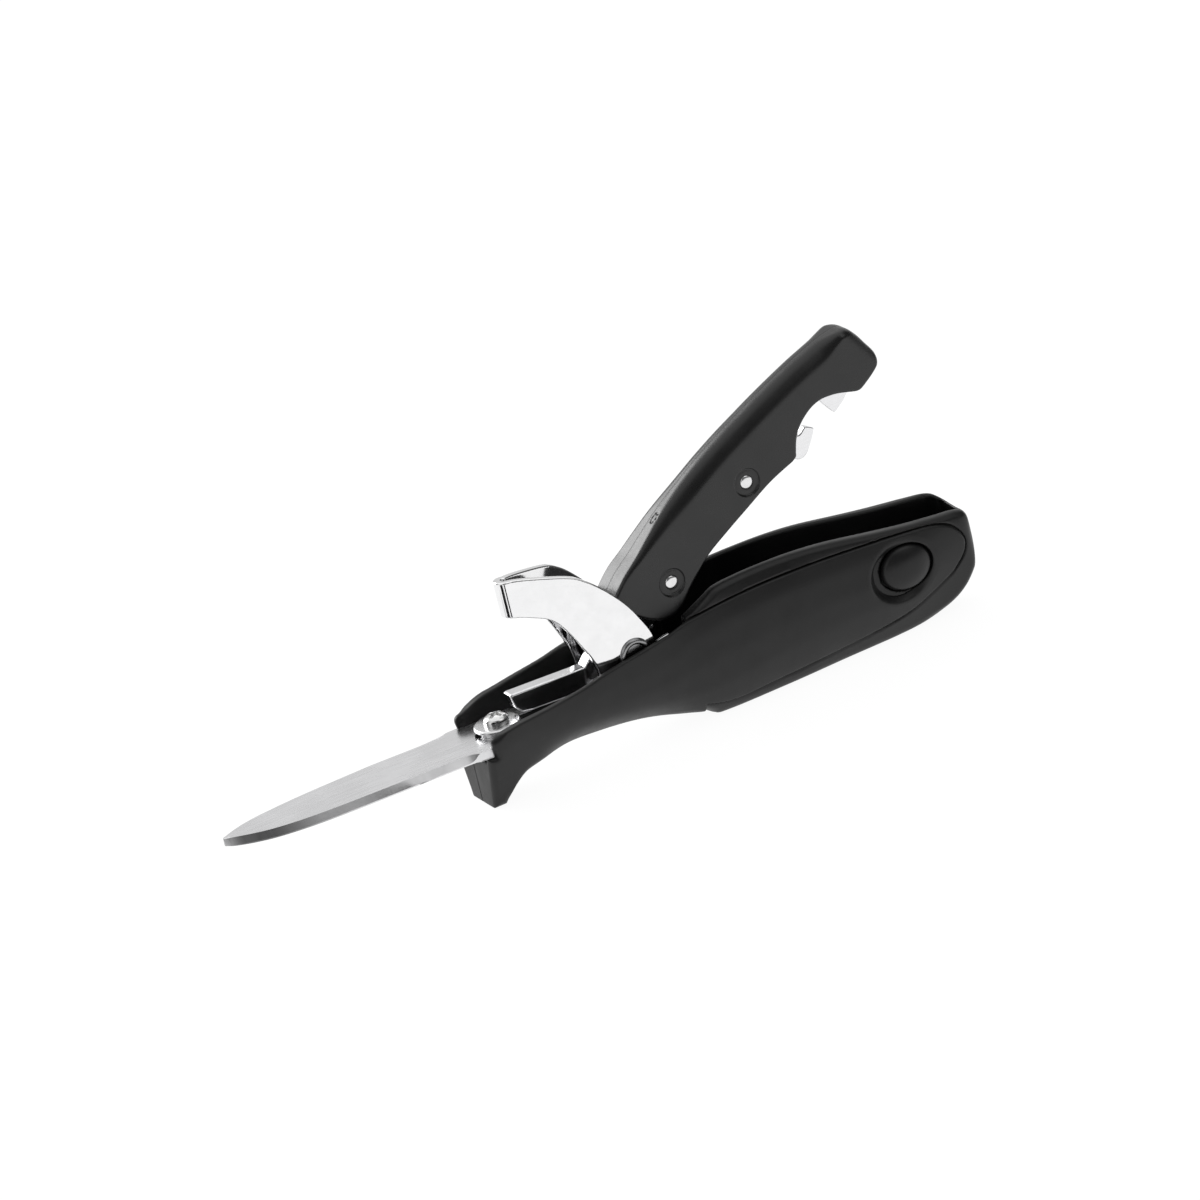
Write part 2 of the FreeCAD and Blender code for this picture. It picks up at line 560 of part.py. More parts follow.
def dome(y_back, y_front):
    """An oval push face, flat behind and domed in front."""
    a, b = 7.6, 6.3
    sign = 1 if y_front > y_back else -1
    rim = 0.7
    levels = [(0.0, 1.0), (rim / abs(y_front - y_back), 1.0), (0.55, 0.9), (0.78, 0.72), (0.92, 0.48), (1.0, 0.22)]
    wires = []
    for t, k in levels:
        y = y_back + (y_front - y_back) * t
        pts = [Vector(FACE_X + a * k * math.cos(u), y, FACE_Z + b * k * math.sin(u)) for u in [2 * math.pi * j / 32 for j in range(32)]]
        wires.append(Part.makePolygon(pts + [pts[0]]))
    return Part.makeLoft(wires, True, True)


near = dome(-9.8, -12.9)
near = near.cut(rod_y(LOCK[0], LOCK[1], 1.7, -10.9, 0))
feature("lock_button_near", near)
far = dome(7.3, 10.4)
far = far.cut(rod_y(LOCK[0], LOCK[1], 1.7, 0, 9.0))
feature("lock_button_far", far)


# ---------------------------------------------------------------- hidden fasteners
def screw_y(x, z, y_end, y_seat, head, radius=1.2):
    return rod_y(x, z, radius, y_end, y_seat).fuse(rod_y(x, z, 2.1, y_seat, y_seat + head))


feature("cover_screw_front", screw_y(SCREW_FRONT[0], SCREW_FRONT[1], -7.4, 7.4, 1.4))
pieces = [screw_y(x, z, -10.7, 10.0, 1.1) for x, z in SCREW_REAR]
obj = doc.addObject("Part::Feature", "cover_screws_rear")
obj.Shape = Part.makeCompound(pieces)
obj.Placement = Placement(Vector(size("pivot_x"), 0, size("pivot_z")), Rotation())
keep(obj, "cover_screws_rear")

screws = []
for number, x in enumerate((-14.0, 5.0)):
    shank = doc.addObject("Part::Cylinder", "plate_screw_shank_%d" % number)
    shank.Radius = 1.5
    shank.Height = 4.6
    place(shank, "%g" % x, "0", "-15.4")
    head = doc.addObject("Part::Cylinder", "plate_screw_head_%d" % number)
    head.Radius = 2.6
    head.Height = 0.9
    place(head, "%g" % x, "0", "-10.8")
    both = doc.addObject("Part::Fuse", "plate_screw_%d" % number)
    both.Base = shank
    both.Tool = head
    screws.append(both)
pair = doc.addObject("Part::Compound", "plate_screws_pair")
pair.Links = screws
keep(pair, "chassis_screws")

doc.recompute()
for obj in doc.Objects:
    if "Invalid" in obj.State or "Error" in obj.State:
        raise RuntimeError("%s: %s" % (obj.Label, obj.State))
for obj in PARTS:
    shape = obj.Shape
    if shape.isNull() or not shape.isValid():
        raise RuntimeError("bad shape: " + obj.Label)
os.makedirs("parts", exist_ok=True)
for old in os.listdir("parts"):
    if old.endswith(".step"):
        os.remove(os.path.join("parts", old))
for obj in PARTS:
    obj.Shape.exportStep(os.path.join("parts", obj.Label + ".step"))
    box = obj.Shape.BoundBox
    print("%-20s solids %d  volume %9.1f  x %7.2f %7.2f  y %6.2f %6.2f  z %6.2f %6.2f" % (
        obj.Label, len(obj.Shape.Solids), obj.Shape.Volume, box.XMin, box.XMax, box.YMin, box.YMax, box.ZMin, box.ZMax))
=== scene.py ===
import math

import bmesh
import bpy
import numpy as np
from mathutils import Matrix, Vector


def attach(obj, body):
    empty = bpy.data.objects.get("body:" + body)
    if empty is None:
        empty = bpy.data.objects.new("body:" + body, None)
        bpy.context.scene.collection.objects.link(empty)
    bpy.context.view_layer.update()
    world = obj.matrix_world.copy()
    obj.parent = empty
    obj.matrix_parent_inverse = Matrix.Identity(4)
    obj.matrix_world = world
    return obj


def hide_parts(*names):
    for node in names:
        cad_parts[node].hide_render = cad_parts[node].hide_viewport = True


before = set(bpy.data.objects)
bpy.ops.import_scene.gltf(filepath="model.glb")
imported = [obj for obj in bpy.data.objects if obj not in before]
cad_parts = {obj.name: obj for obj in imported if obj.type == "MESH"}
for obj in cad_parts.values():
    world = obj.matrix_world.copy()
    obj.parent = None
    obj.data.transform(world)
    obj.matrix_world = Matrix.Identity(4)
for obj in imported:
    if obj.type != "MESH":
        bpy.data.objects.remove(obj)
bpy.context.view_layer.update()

# Every profile below is in millimetres about the lever's pivot axis; PX and PZ place it in the row frame.
PX, PZ = 7.87, 26.2
FINE = 0.6       # scales the sampling step


# ------------------------------------------------------------------ distance-field modelling
def spline(points, per=8):
    out = []
    n = len(points)
    for i in range(n - 1):
        p0, p1 = points[max(i - 1, 0)], points[i]
        p2, p3 = points[i + 1], points[min(i + 2, n - 1)]
        for k in range(per):
            t = k / per
            out.append(tuple(0.5 * ((2 * p1[j]) + (-p0[j] + p2[j]) * t + (2 * p0[j] - 5 * p1[j] + 4 * p2[j] - p3[j]) * t * t
                                    + (-p0[j] + 3 * p1[j] - 3 * p2[j] + p3[j]) * t ** 3) for j in range(2)))
    out.append(tuple(points[-1]))
    return out


class Outline:
    """Signed distance to a closed outline in a plane, sampled on a fine grid and read back bilinearly."""

    def __init__(self, points, step=0.15, margin=6.0):
        p = np.array(points, float)
        self.lo = p.min(0) - margin
        hi = p.max(0) + margin
        self.step = step
        nx, ny = (int(c) + 2 for c in (hi - self.lo) / step)
        u = self.lo[0] + step * np.arange(nx)
        v = self.lo[1] + step * np.arange(ny)
        U, V = np.meshgrid(u, v, indexing="ij")
        U, V = U.astype(np.float32), V.astype(np.float32)
        best = np.full(U.shape, 1e9, np.float32)
        inside = np.zeros(U.shape, bool)
        q = np.roll(p, -1, 0)
        for (ax, ay), (bx, by) in zip(p, q):
            ex, ey = bx - ax, by - ay
            ll = ex * ex + ey * ey
            if ll < 1e-12:
                continue
            wx, wy = U - ax, V - ay
            t = np.clip((wx * ex + wy * ey) / ll, 0, 1)
            best = np.minimum(best, (wx - t * ex) ** 2 + (wy - t * ey) ** 2)
            if ay != by:
                hit = ((ay > V) != (by > V)) & (U < (bx - ax) * (V - ay) / (by - ay) + ax)
                inside ^= hit
        self.grid = np.sqrt(best) * np.where(inside, -1, 1)
        self.nx, self.ny = nx, ny

    def __call__(self, u, v):
        a = np.clip((u - self.lo[0]) / self.step, 0, self.nx - 1.001)
        b = np.clip((v - self.lo[1]) / self.step, 0, self.ny - 1.001)
        i, j = a.astype(int), b.astype(int)
        fa, fb = a - i, b - j
        g = self.grid
        return (g[i, j] * (1 - fa) * (1 - fb) + g[i + 1, j] * fa * (1 - fb) + g[i, j + 1] * (1 - fa) * fb
                + g[i + 1, j + 1] * fa * fb)


def both(a, b, r=0.0):
    """Intersection; its edge is rounded with radius r."""
    if np.ndim(r) == 0 and r <= 0:
        return np.maximum(a, b)
    u, v = np.maximum(r + a, 0), np.maximum(r + b, 0)
    return np.minimum(-r, np.maximum(a, b)) + np.sqrt(u * u + v * v)


def either(a, b, r=0.0):
    return -both(-a, -b, r)


def less(a, b, r=0.0):
    """a with b taken away; the edge left is rounded with radius r."""
    return both(a, -b, r)


def surface(field, lo, hi, step):
    """Quads over the zero surface of field, with each vertex moved onto the surface."""
    lo = np.array(lo, float)
    count = [int(c) + 2 for c in (np.array(hi, float) - lo) / step]
    ax = [(lo[k] + step * np.arange(count[k])) for k in range(3)]
    X, Y, Z = np.meshgrid(*ax, indexing="ij", sparse=False)
    f = np.asarray(field(X, Y, Z), np.float32)
    s = f < 0
    nx, ny, nz = f.shape
    total = np.zeros((nx - 1, ny - 1, nz - 1, 3), np.float32)
    number = np.zeros((nx - 1, ny - 1, nz - 1), np.uint8)
    for axis in range(3):
        a = [slice(None)] * 3
        b = [slice(None)] * 3
        a[axis], b[axis] = slice(0, -1), slice(1, None)
        fa, fb = f[tuple(a)], f[tuple(b)]
        cross = s[tuple(a)] != s[tuple(b)]
        t = np.where(cross, fa / np.where(cross, fa - fb, 1), 0)
        others = [k for k in range(3) if k != axis]
        for o1 in (0, 1):
            for o2 in (0, 1):
                sl = [None] * 3
                sl[axis] = slice(0, None)
                sl[others[0]] = slice(o1, None if o1 else -1)
                sl[others[1]] = slice(o2, None if o2 else -1)
                c = cross[tuple(sl)]
                number += c
                total[..., axis] += np.where(c, t[tuple(sl)], 0)
                total[..., others[0]] += np.where(c, o1, 0)
                total[..., others[1]] += np.where(c, o2, 0)
    active = number > 0
    index = np.full(active.shape, -1, np.int64)
    index[active] = np.arange(active.sum())
    cell = np.argwhere(active)
    v = lo + step * (cell + total[active] / number[active][:, None])
    for _ in range(3):
        e = 0.02
        value = field(v[:, 0], v[:, 1], v[:, 2])
        g = np.stack([(field(v[:, 0] + e * (k == 0), v[:, 1] + e * (k == 1), v[:, 2] + e * (k == 2)) - value) / e for k in range(3)], 1)
        move = (value / np.maximum((g * g).sum(1), 0.2))[:, None] * g
        v = v - np.clip(move, -0.6 * step, 0.6 * step)
    faces = []
    for axis in range(3):
        a = [slice(None)] * 3
        b = [slice(None)] * 3
        a[axis], b[axis] = slice(0, -1), slice(1, None)
        cross = s[tuple(a)] != s[tuple(b)]
        o = [k for k in range(3) if k != axis]
        where = np.argwhere(cross)
        ok = np.all([(where[:, k] >= 1) & (where[:, k] < f.shape[k] - 1) for k in o], 0)
        where = where[ok]
        inside = s[tuple(a)][tuple(where.T)]
        quad = []
        for d1, d2 in ((0, 0), (1, 0), (1, 1), (0, 1)):
            c = where.copy()
            c[:, o[0]] -= d1
            c[:, o[1]] -= d2
            quad.append(index[tuple(c.T)])
        quad = np.stack(quad, 1)
        flip = inside if axis != 1 else ~inside
        quad = np.where(flip[:, None], quad, quad[:, ::-1])
        faces.append(quad)
    faces = np.concatenate(faces)
    return v, faces


def mesh_object(name, v, faces, body, material, nodes=(), smooth=True, keep=1.0):
    v = (np.asarray(v, float) + (PX, 0, PZ)) / 1000.0
    data = bpy.data.meshes.new(name)
    data.from_pydata(v.tolist(), [], [tuple(int(i) for i in f) for f in faces])
    data.update()
    obj = bpy.data.objects.new(name, data)
    bpy.context.scene.collection.objects.link(obj)
    bm = bmesh.new()
    bm.from_mesh(data)
    bmesh.ops.recalc_face_normals(bm, faces=bm.faces)
    bm.to_mesh(data)
    bm.free()
    if keep < 1.0:
        mod = obj.modifiers.new("thin", "DECIMATE")
        mod.ratio = keep
        bpy.context.view_layer.objects.active = obj
        dg = bpy.context.evaluated_depsgraph_get()
        made = bpy.data.meshes.new_from_object(obj.evaluated_get(dg))
        obj.modifiers.clear()
        obj.data = made
        made.name = name
    data = obj.data
    data.polygons.foreach_set("use_smooth", [smooth] * len(data.polygons))
    data.materials.clear()
    data.materials.append(material)
    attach(obj, body)
    if nodes:
        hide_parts(*nodes)
    return obj


def solid(name, field, lo, hi, step, body, material, nodes=(), keep=1.0):
    v, faces = surface(field, lo, hi, step)
    return mesh_object(name, v, faces, body, material, nodes, keep=keep)


def lathe(name, profile, centre, axis, body, material, nodes=(), turns=96, closed=False):
    """A turned piece: profile of (radius, along) points about an axis through centre."""
    p = np.array(profile, float)
    a = np.linspace(0, 2 * math.pi, turns, endpoint=False)
    r = p[:, 0][:, None]
    h = np.repeat(p[:, 1][:, None], turns, 1)
    c, s = r * np.cos(a)[None], r * np.sin(a)[None]
    if axis == "Y":
        v = np.stack([centre[0] + c, centre[1] + h, centre[2] + s], -1)
    else:
        v = np.stack([centre[0] + c, centre[1] + s, centre[2] + h], -1)
    n = len(p)
    v = v.reshape(-1, 3)
    faces = []
    rows = n if closed else n - 1
    for i in range(rows):
        for j in range(turns):
            k = (j + 1) % turns
            i2 = (i + 1) % n
            faces.append((i * turns + j, i * turns + k, i2 * turns + k, i2 * turns + j))
    if not closed:
        for i in (0, n - 1):
            if p[i, 0] > 1e-6:
                faces.append(tuple(i * turns + j for j in range(turns)))
    obj = mesh_object(name, v, faces, body, material, nodes)
    bm = bmesh.new()
    bm.from_mesh(obj.data)
    bmesh.ops.remove_doubles(bm, verts=bm.verts, dist=1e-7)
    bmesh.ops.recalc_face_normals(bm, faces=bm.faces)
    bm.to_mesh(obj.data)
    bm.free()
    obj.data.polygons.foreach_set("use_smooth", [True] * len(obj.data.polygons))
    return obj


def fillet(points, radius=0.25, steps=4):
    """Rounds each corner of an open (r, h) profile."""
    out = [points[0]]
    for a, b, c in zip(points, points[1:], points[2:]):
        a, b, c = (np.array(q, float) for q in (a, b, c))
        u, w = a - b, c - b
        lu, lw = np.linalg.norm(u), np.linalg.norm(w)
        r = min(radius, 0.45 * lu, 0.45 * lw)
        p, q = b + u / lu * r, b + w / lw * r
        for k in range(steps + 1):
            t = k / steps
            out.append(tuple((1 - t) ** 2 * p + 2 * t * (1 - t) * b + t * t * q))
    out.append(points[-1])
    return out


# ------------------------------------------------------------------ materials
def new_material(name):
    m = bpy.data.materials.new(name)
    m.use_nodes = True
    t = m.node_tree
    for n in list(t.nodes):
        t.nodes.remove(n)
    out = t.nodes.new("ShaderNodeOutputMaterial")
    b = t.nodes.new("ShaderNodeBsdfPrincipled")
    t.links.new(b.outputs["BSDF"], out.inputs["Surface"])
    return m, t, b


def node(t, kind, **inputs):
    n = t.nodes.new(kind)
    for k, v in inputs.items():
        key = k.replace("_", " ")
        if key in n.inputs:
            n.inputs[key].default_value = v
        else:
            setattr(n, k, v)
    return n


def coords(t, scale=(1, 1, 1), rotation=(0, 0, 0)):
    c = t.nodes.new("ShaderNodeTexCoord")
    m = t.nodes.new("ShaderNodeMapping")
    m.inputs["Scale"].default_value = scale
    m.inputs["Rotation"].default_value = rotation
    t.links.new(c.outputs["Object"], m.inputs["Vector"])
    return m.outputs["Vector"]


def ramp(t, source, stops):
    r = t.nodes.new("ShaderNodeValToRGB")
    e = r.color_ramp.elements
    while len(e) < len(stops):
        e.new(0.5)
    for item, (pos, col) in zip(e, stops):
        item.position = pos
        item.color = (col, col, col, 1) if isinstance(col, (int, float)) else (*col, 1)
    t.links.new(source, r.inputs["Fac"])
    return r.outputs["Color"]


def black_polymer(name, base, rough, grain, grain_scale, wear=0.02, spec=0.5, coat=0.0):
    """Moulded black plastic or rubber: fine grain in the bump, faint handling marks in colour and roughness."""
    m, t, b = new_material(name)
    v = coords(t)
    big = node(t, "ShaderNodeTexNoise", Scale=55.0, Detail=5.0, Roughness=0.55)
    t.links.new(v, big.inputs["Vector"])
    col = ramp(t, big.outputs["Fac"], [(0.3, tuple(c * 0.86 for c in base)), (0.72, tuple(c * 1.16 + 0.002 for c in base))])
    fine = node(t, "ShaderNodeTexNoise", Scale=grain_scale, Detail=3.0, Roughness=0.6)
    t.links.new(v, fine.inputs["Vector"])
    geo = t.nodes.new("ShaderNodeNewGeometry")
    edge = ramp(t, geo.outputs["Pointiness"], [(0.5, 0.0), (0.62, 1.0)])
    mix = t.nodes.new("ShaderNodeMix")
    mix.data_type = "RGBA"
    mix.blend_type = "ADD"
    mix.inputs["Factor"].default_value = wear
    t.links.new(col, mix.inputs[6])
    t.links.new(edge, mix.inputs[7])
    t.links.new(mix.outputs[2], b.inputs["Base Color"])
    smudge = node(t, "ShaderNodeTexNoise", Scale=120.0, Detail=6.0, Roughness=0.65, Distortion=0.4)
    t.links.new(v, smudge.inputs["Vector"])
    rr = ramp(t, smudge.outputs["Fac"], [(0.3, rough - 0.06), (0.75, rough + 0.07)])
    t.links.new(rr, b.inputs["Roughness"])
    bump = t.nodes.new("ShaderNodeBump")
    bump.inputs["Strength"].default_value = grain
    bump.inputs["Distance"].default_value = 0.0001
    t.links.new(fine.outputs["Fac"], bump.inputs["Height"])
    t.links.new(bump.outputs["Normal"], b.inputs["Normal"])
    b.inputs["Specular IOR Level"].default_value = spec
    b.inputs["Coat Weight"].default_value = coat
    b.inputs["Coat Roughness"].default_value = 0.25
    return m


def steel(name, base, rough, stretch, strength=0.15, spots=0.0, aniso=0.0, along=None):
    """Steel with drawn or ground lines: noise stretched along one direction drives roughness, colour and bump; an
    optional along list multiplies the colour by a painted reflection tone over the object's x.
    """
    m, t, b = new_material(name)
    v = coords(t, scale=stretch)
    lines = node(t, "ShaderNodeTexNoise", Scale=1.0, Detail=6.0, Roughness=0.7)
    t.links.new(v, lines.inputs["Vector"])
    col = ramp(t, lines.outputs["Fac"], [(0.25, tuple(c * 0.93 for c in base)), (0.75, tuple(min(1, c * 1.04) for c in base))])
    if along:
        # painted reflection: tone stops over the object's own x, in metres, multiply the colour, darkest a little
        # behind the tip and brightening towards the root, standing in for the bevel's dark and bright reflections
        axis = t.nodes.new("ShaderNodeSeparateXYZ")
        t.links.new(coords(t), axis.inputs[0])
        span = t.nodes.new("ShaderNodeMapRange")
        span.inputs["From Min"].default_value = along[0][0]
        span.inputs["From Max"].default_value = along[-1][0]
        t.links.new(axis.outputs["X"], span.inputs["Value"])
        wide = along[-1][0] - along[0][0]
        painted_reflection_tone = ramp(t, span.outputs["Result"], [((x - along[0][0]) / wide, (g, g, g)) for x, g in along])
        mix = t.nodes.new("ShaderNodeMix")
        mix.data_type = "RGBA"
        mix.blend_type = "MULTIPLY"
        mix.inputs["Factor"].default_value = 1.0
        t.links.new(col, mix.inputs[6])
        t.links.new(painted_reflection_tone, mix.inputs[7])
        col = mix.outputs[2]
    t.links.new(col, b.inputs["Base Color"])
    cloud = node(t, "ShaderNodeTexNoise", Scale=90.0, Detail=4.0, Roughness=0.6)
    v2 = coords(t)
    t.links.new(v2, cloud.inputs["Vector"])
    add = t.nodes.new("ShaderNodeMath")
    add.operation = "MULTIPLY"
    t.links.new(lines.outputs["Fac"], add.inputs[0])
    t.links.new(cloud.outputs["Fac"], add.inputs[1])
    rr = ramp(t, add.outputs[0], [(0.1, max(0.02, rough * 0.75)), (0.45, rough * 1.35)])
    t.links.new(rr, b.inputs["Roughness"])
    bump = t.nodes.new("ShaderNodeBump")
    bump.inputs["Strength"].default_value = strength
    bump.inputs["Distance"].default_value = 0.00002
    t.links.new(lines.outputs["Fac"], bump.inputs["Height"])
    t.links.new(bump.outputs["Normal"], b.inputs["Normal"])
    b.inputs["Metallic"].default_value = 1.0
    return m


COVER = black_polymer("soft_touch_black", (0.0045, 0.0045, 0.0046), 0.46, 0.20, 5200.0, wear=0.003, spec=0.40)
NYLON = black_polymer("hard_black_nylon", (0.0036, 0.0036, 0.0037), 0.38, 0.18, 4200.0, wear=0.003, spec=0.38)
SCALE_M = black_polymer("lever_scale_black", (0.0065, 0.0065, 0.0067), 0.30, 0.26, 3000.0, wear=0.004, spec=0.50)
BUTTON_M = black_polymer("button_black", (0.006, 0.006, 0.0062), 0.38, 0.12, 5200.0, wear=0.003, spec=0.34)
BUSH_M = black_polymer("bush_nylon", (0.02, 0.02, 0.02), 0.4, 0.1, 3000.0, wear=0.004, spec=0.3)
BLADE_M = steel("blade_satin", (0.76, 0.76, 0.77), 0.27, (60, 1800, 1800), 0.16)
# the bevel's along stops paint its reflections into the colour: darkest a little behind the tip, full tone towards the
# root
BEVEL_M = steel("blade_ground_bevel_painted_tone", (0.80, 0.80, 0.81), 0.46, (620, 30, 60), 1.0,
                along=[(-0.1105, 0.55), (-0.1065, 0.24), (-0.098, 0.24), (-0.089, 0.48), (-0.078, 0.85), (-0.060, 1.0), (-0.040, 1.0)])
RIVET_DARK = steel("pivot_rivet_rolled", (0.30, 0.30, 0.305), 0.24, (700, 700, 700), 0.12)
CHROME = steel("stirrup_polished", (0.86, 0.86, 0.865), 0.085, (150, 150, 150), 0.03)
CORE_M = steel("core_polished", (0.80, 0.80, 0.81), 0.16, (300, 300, 1500), 0.10)
RIVET_M = steel("rivet_polished", (0.78, 0.78, 0.785), 0.20, (700, 700, 700), 0.12)
WASHER_M = steel("washer_turned", (0.68, 0.68, 0.685), 0.28, (900, 900, 300), 0.2)
SCREW_M = steel("screw_plated", (0.74, 0.74, 0.735), 0.18, (1500, 1500, 1500), 0.2)
PLATE_M = steel("plate_rolled", (0.55, 0.55, 0.56), 0.35, (400, 1800, 400), 0.25)
SPRING_M = steel("spring_wire", (0.66, 0.66, 0.67), 0.22, (1500, 300, 300), 0.15)

# ------------------------------------------------------------------ profiles
RIM = spline([(-45.7, -6.9), (-45.2, -5.7), (-43.4, -5.0), (-37, -3.9), (-28, -3.2), (-18, -2.0), (-11, -0.6), (0, 1.0), (9, 2.2), (16, 3.5),
              (26, 4.4), (36.9, 4.8), (47, 4.7), (57.8, 4.3), (72, 3.2), (85, 1.9), (92, 0.8), (96.6, -1.2), (99.4, -4.4)], 6)
COVER_END = spline([(99.4, -4.4), (100.2, -7.2), (98.8, -10.6), (94.9, -14.3)], 6)
COVER_LOW = spline([(94.9, -14.3), (88, -17.4), (79.5, -20.1), (65, -21.8), (51, -22.5), (40, -22.9), (29.8, -23.4), (23, -24.3), (19.6, -24.5),
                    (12.1, -23.5), (4.3, -21.9), (-2.3, -20.6), (-13.9, -19.2), (-26.0, -18.8), (-33.4, -18.9), (-37.4, -19.8),
                    (-40.4, -21.6), (-42.4, -24.2), (-43.6, -26.2)], 6)
COVER_SIDE = [(-45.2, -10.9)] + RIM + COVER_END[1:] + COVER_LOW[1:] + [(-47.3, -26.2), (-47.3, -10.9)]
BODY_TOP = spline([(10, 2.8), (16.2, 4.5), (20, 6.1), (23.5, 7.7), (26.5, 9.0), (32, 9.5), (40, 9.6), (50, 9.2), (60.7, 8.0), (74, 5.6),
                   (84, 3.9), (94, 2.6), (99.5, 1.9), (102.6, 0.6), (104.2, -1.8), (104.75, -7.4)], 6)
BODY_LOW = spline([(104.75, -7.4), (104.2, -11.8), (102.2, -16.6), (98.5, -21.1), (93, -24.1), (84.5, -25.8), (76.0, -26.17)], 6)
FRAME_SIDE = BODY_TOP + BODY_LOW[1:] + [(73.7, -26.2), (20.8, -26.2), (20.0, -26.0), (18.6, -25.2), (17.2, -24.2), (15.4, -22.9), (10, -20.6)]

STATIONS = [
    (-49.0, [(-4, 12.3), (-10, 11.3), (-15, 10.0), (-20, 8.7), (-24, 7.6), (-27, 7.0)]),
    (-40.0, [(-3, 12.5), (-8, 12.0), (-13, 10.6), (-18, 9.2), (-22, 8.0), (-27, 7.0)]),
    (-27.0, [(-2, 12.4), (-7, 12.2), (-11, 11.3), (-14, 10.0), (-16.2, 8.2), (-18, 6.2)]),
    (-12.0, [(1, 12.3), (-5, 12.4), (-10, 11.7), (-13.5, 10.4), (-16, 8.2), (-18, 5.6)]),
    (4.0, [(3, 12.0), (-5, 12.5), (-11, 12.1), (-15.5, 10.7), (-18.4, 8.6), (-20.5, 6.0)]),
    (20.0, [(5.5, 10.6), (-1, 12.1), (-9, 12.7), (-17, 11.9), (-21.5, 10.4), (-25, 8.6)]),
    (40.0, [(6, 10.2), (0.5, 12.0), (-8, 12.85), (-15, 12.5), (-20, 11.2), (-24, 9.7)]),
    (60.0, [(6, 10.2), (0, 12.0), (-8, 12.85), (-14, 12.5), (-19, 11.2), (-23, 9.7)]),
    (78.0, [(4, 10.2), (-1, 11.8), (-8, 12.6), (-14, 12.2), (-18, 11.0), (-22, 9.7)]),
    (92.0, [(3, 10.0), (-2, 11.2), (-7, 11.6), (-11, 11.2), (-14, 10.5), (-18, 9.6)]),
    (102.0, [(1, 9.4), (-3, 10.2), (-7, 10.5), (-10, 10.2), (-13, 9.9), (-16, 9.4)]),
]


class Width:
    """Smooth half-width of the covers over the side view."""

    def __init__(self, step=0.5):
        xs = [s[0] for s in STATIONS]
        self.step = step
        self.x0, self.z0 = -50.0, -30.0
        X = self.x0 + step * np.arange(int(156 / step))
        Z = self.z0 + step * np.arange(int(42 / step))
        table = np.zeros((len(X), len(Z)), np.float32)
        zs = np.array([[p[0] for p in s[1]] for s in STATIONS], float)
        ws = np.array([[p[1] for p in s[1]] for s in STATIONS], float)

        def along(values, x):
            i = int(np.clip(np.searchsorted(xs, x) - 1, 0, len(xs) - 2))
            t = np.clip((x - xs[i]) / (xs[i + 1] - xs[i]), 0, 1)
            p1, p2 = values[i], values[i + 1]
            m1 = (values[min(i + 1, len(xs) - 1)] - values[max(i - 1, 0)]) / (xs[min(i + 1, len(xs) - 1)] - xs[max(i - 1, 0)])
            m2 = (values[min(i + 2, len(xs) - 1)] - values[i]) / (xs[min(i + 2, len(xs) - 1)] - xs[i])
            d = xs[i + 1] - xs[i]
            return ((2 * t ** 3 - 3 * t * t + 1) * p1 + (t ** 3 - 2 * t * t + t) * d * m1 + (-2 * t ** 3 + 3 * t * t) * p2
                    + (t ** 3 - t * t) * d * m2)

        for i, x in enumerate(X):
            z, w = along(zs, x)[::-1], along(ws, x)[::-1]
            lead = (w[1] - w[0]) / (z[1] - z[0])
            tail = (w[-1] - w[-2]) / (z[-1] - z[-2])
            z = np.concatenate([[z[0] - 8], z, [z[-1] + 10]])
            w = np.concatenate([[w[0] - 8 * lead], w, [w[-1] + 10 * tail]])
            table[i] = np.interp(Z, z, w)
        kernel = np.exp(-0.5 * (np.arange(-6, 7) * step / 1.2) ** 2)
        kernel /= kernel.sum()
        padded = np.pad(table, ((0, 0), (6, 6)), mode="edge")
        table = sum(k * padded[:, j:j + table.shape[1]] for j, k in enumerate(kernel))
        self.table = table
        self.gx, self.gz = np.gradient(table, step)

    def read(self, grid, x, z):
        a = np.clip((x - self.x0) / self.step, 0, grid.shape[0] - 1.001)
        b = np.clip((z - self.z0) / self.step, 0, grid.shape[1] - 1.001)
        i, j = a.astype(int), b.astype(int)
        fa, fb = a - i, b - j
        return (grid[i, j] * (1 - fa) * (1 - fb) + grid[i + 1, j] * fa * (1 - fb) + grid[i, j + 1] * (1 - fa) * fb
                + grid[i + 1, j + 1] * fa * fb)

    def distance(self, x, y, z):
        w = self.read(self.table, x, z)
        gx, gz = self.read(self.gx, x, z), self.read(self.gz, x, z)
        return (np.abs(y) - w) / np.sqrt(1 + gx * gx + gz * gz)


WIDTH = Width()
CHANNEL = [(-60, 9.45), (-43.6, 9.55), (-30, 10.2), (-20, 10.65), (10, 10.6), (15.0, 10.0), (16.2, 9.4), (16.2, 0), (-60, 0)]
LOCK_X, LOCK_Z, FACE_Z = 78.9, -8.5, -7.2

cover_side = Outline(COVER_SIDE)
frame_side = Outline(FRAME_SIDE)
channel = Outline(CHANNEL, 0.2)


def oval(x, z, cx, cz, a, b):
    u, v = (x - cx) / a, (z - cz) / b
    k = np.sqrt(u * u + v * v) + 1e-9
    g = np.sqrt((u / a) ** 2 + (v / b) ** 2) + 1e-9
    return k * (k - 1) / g


def ease(t):
    t = np.clip(t, 0, 1)
    return t * t * (3 - 2 * t)


GAP = 0.20          # the covers stand this far inside their seats, which leaves the thin joint line
FACE_X, FACE_A, FACE_B = 81.2, 7.6, 6.3


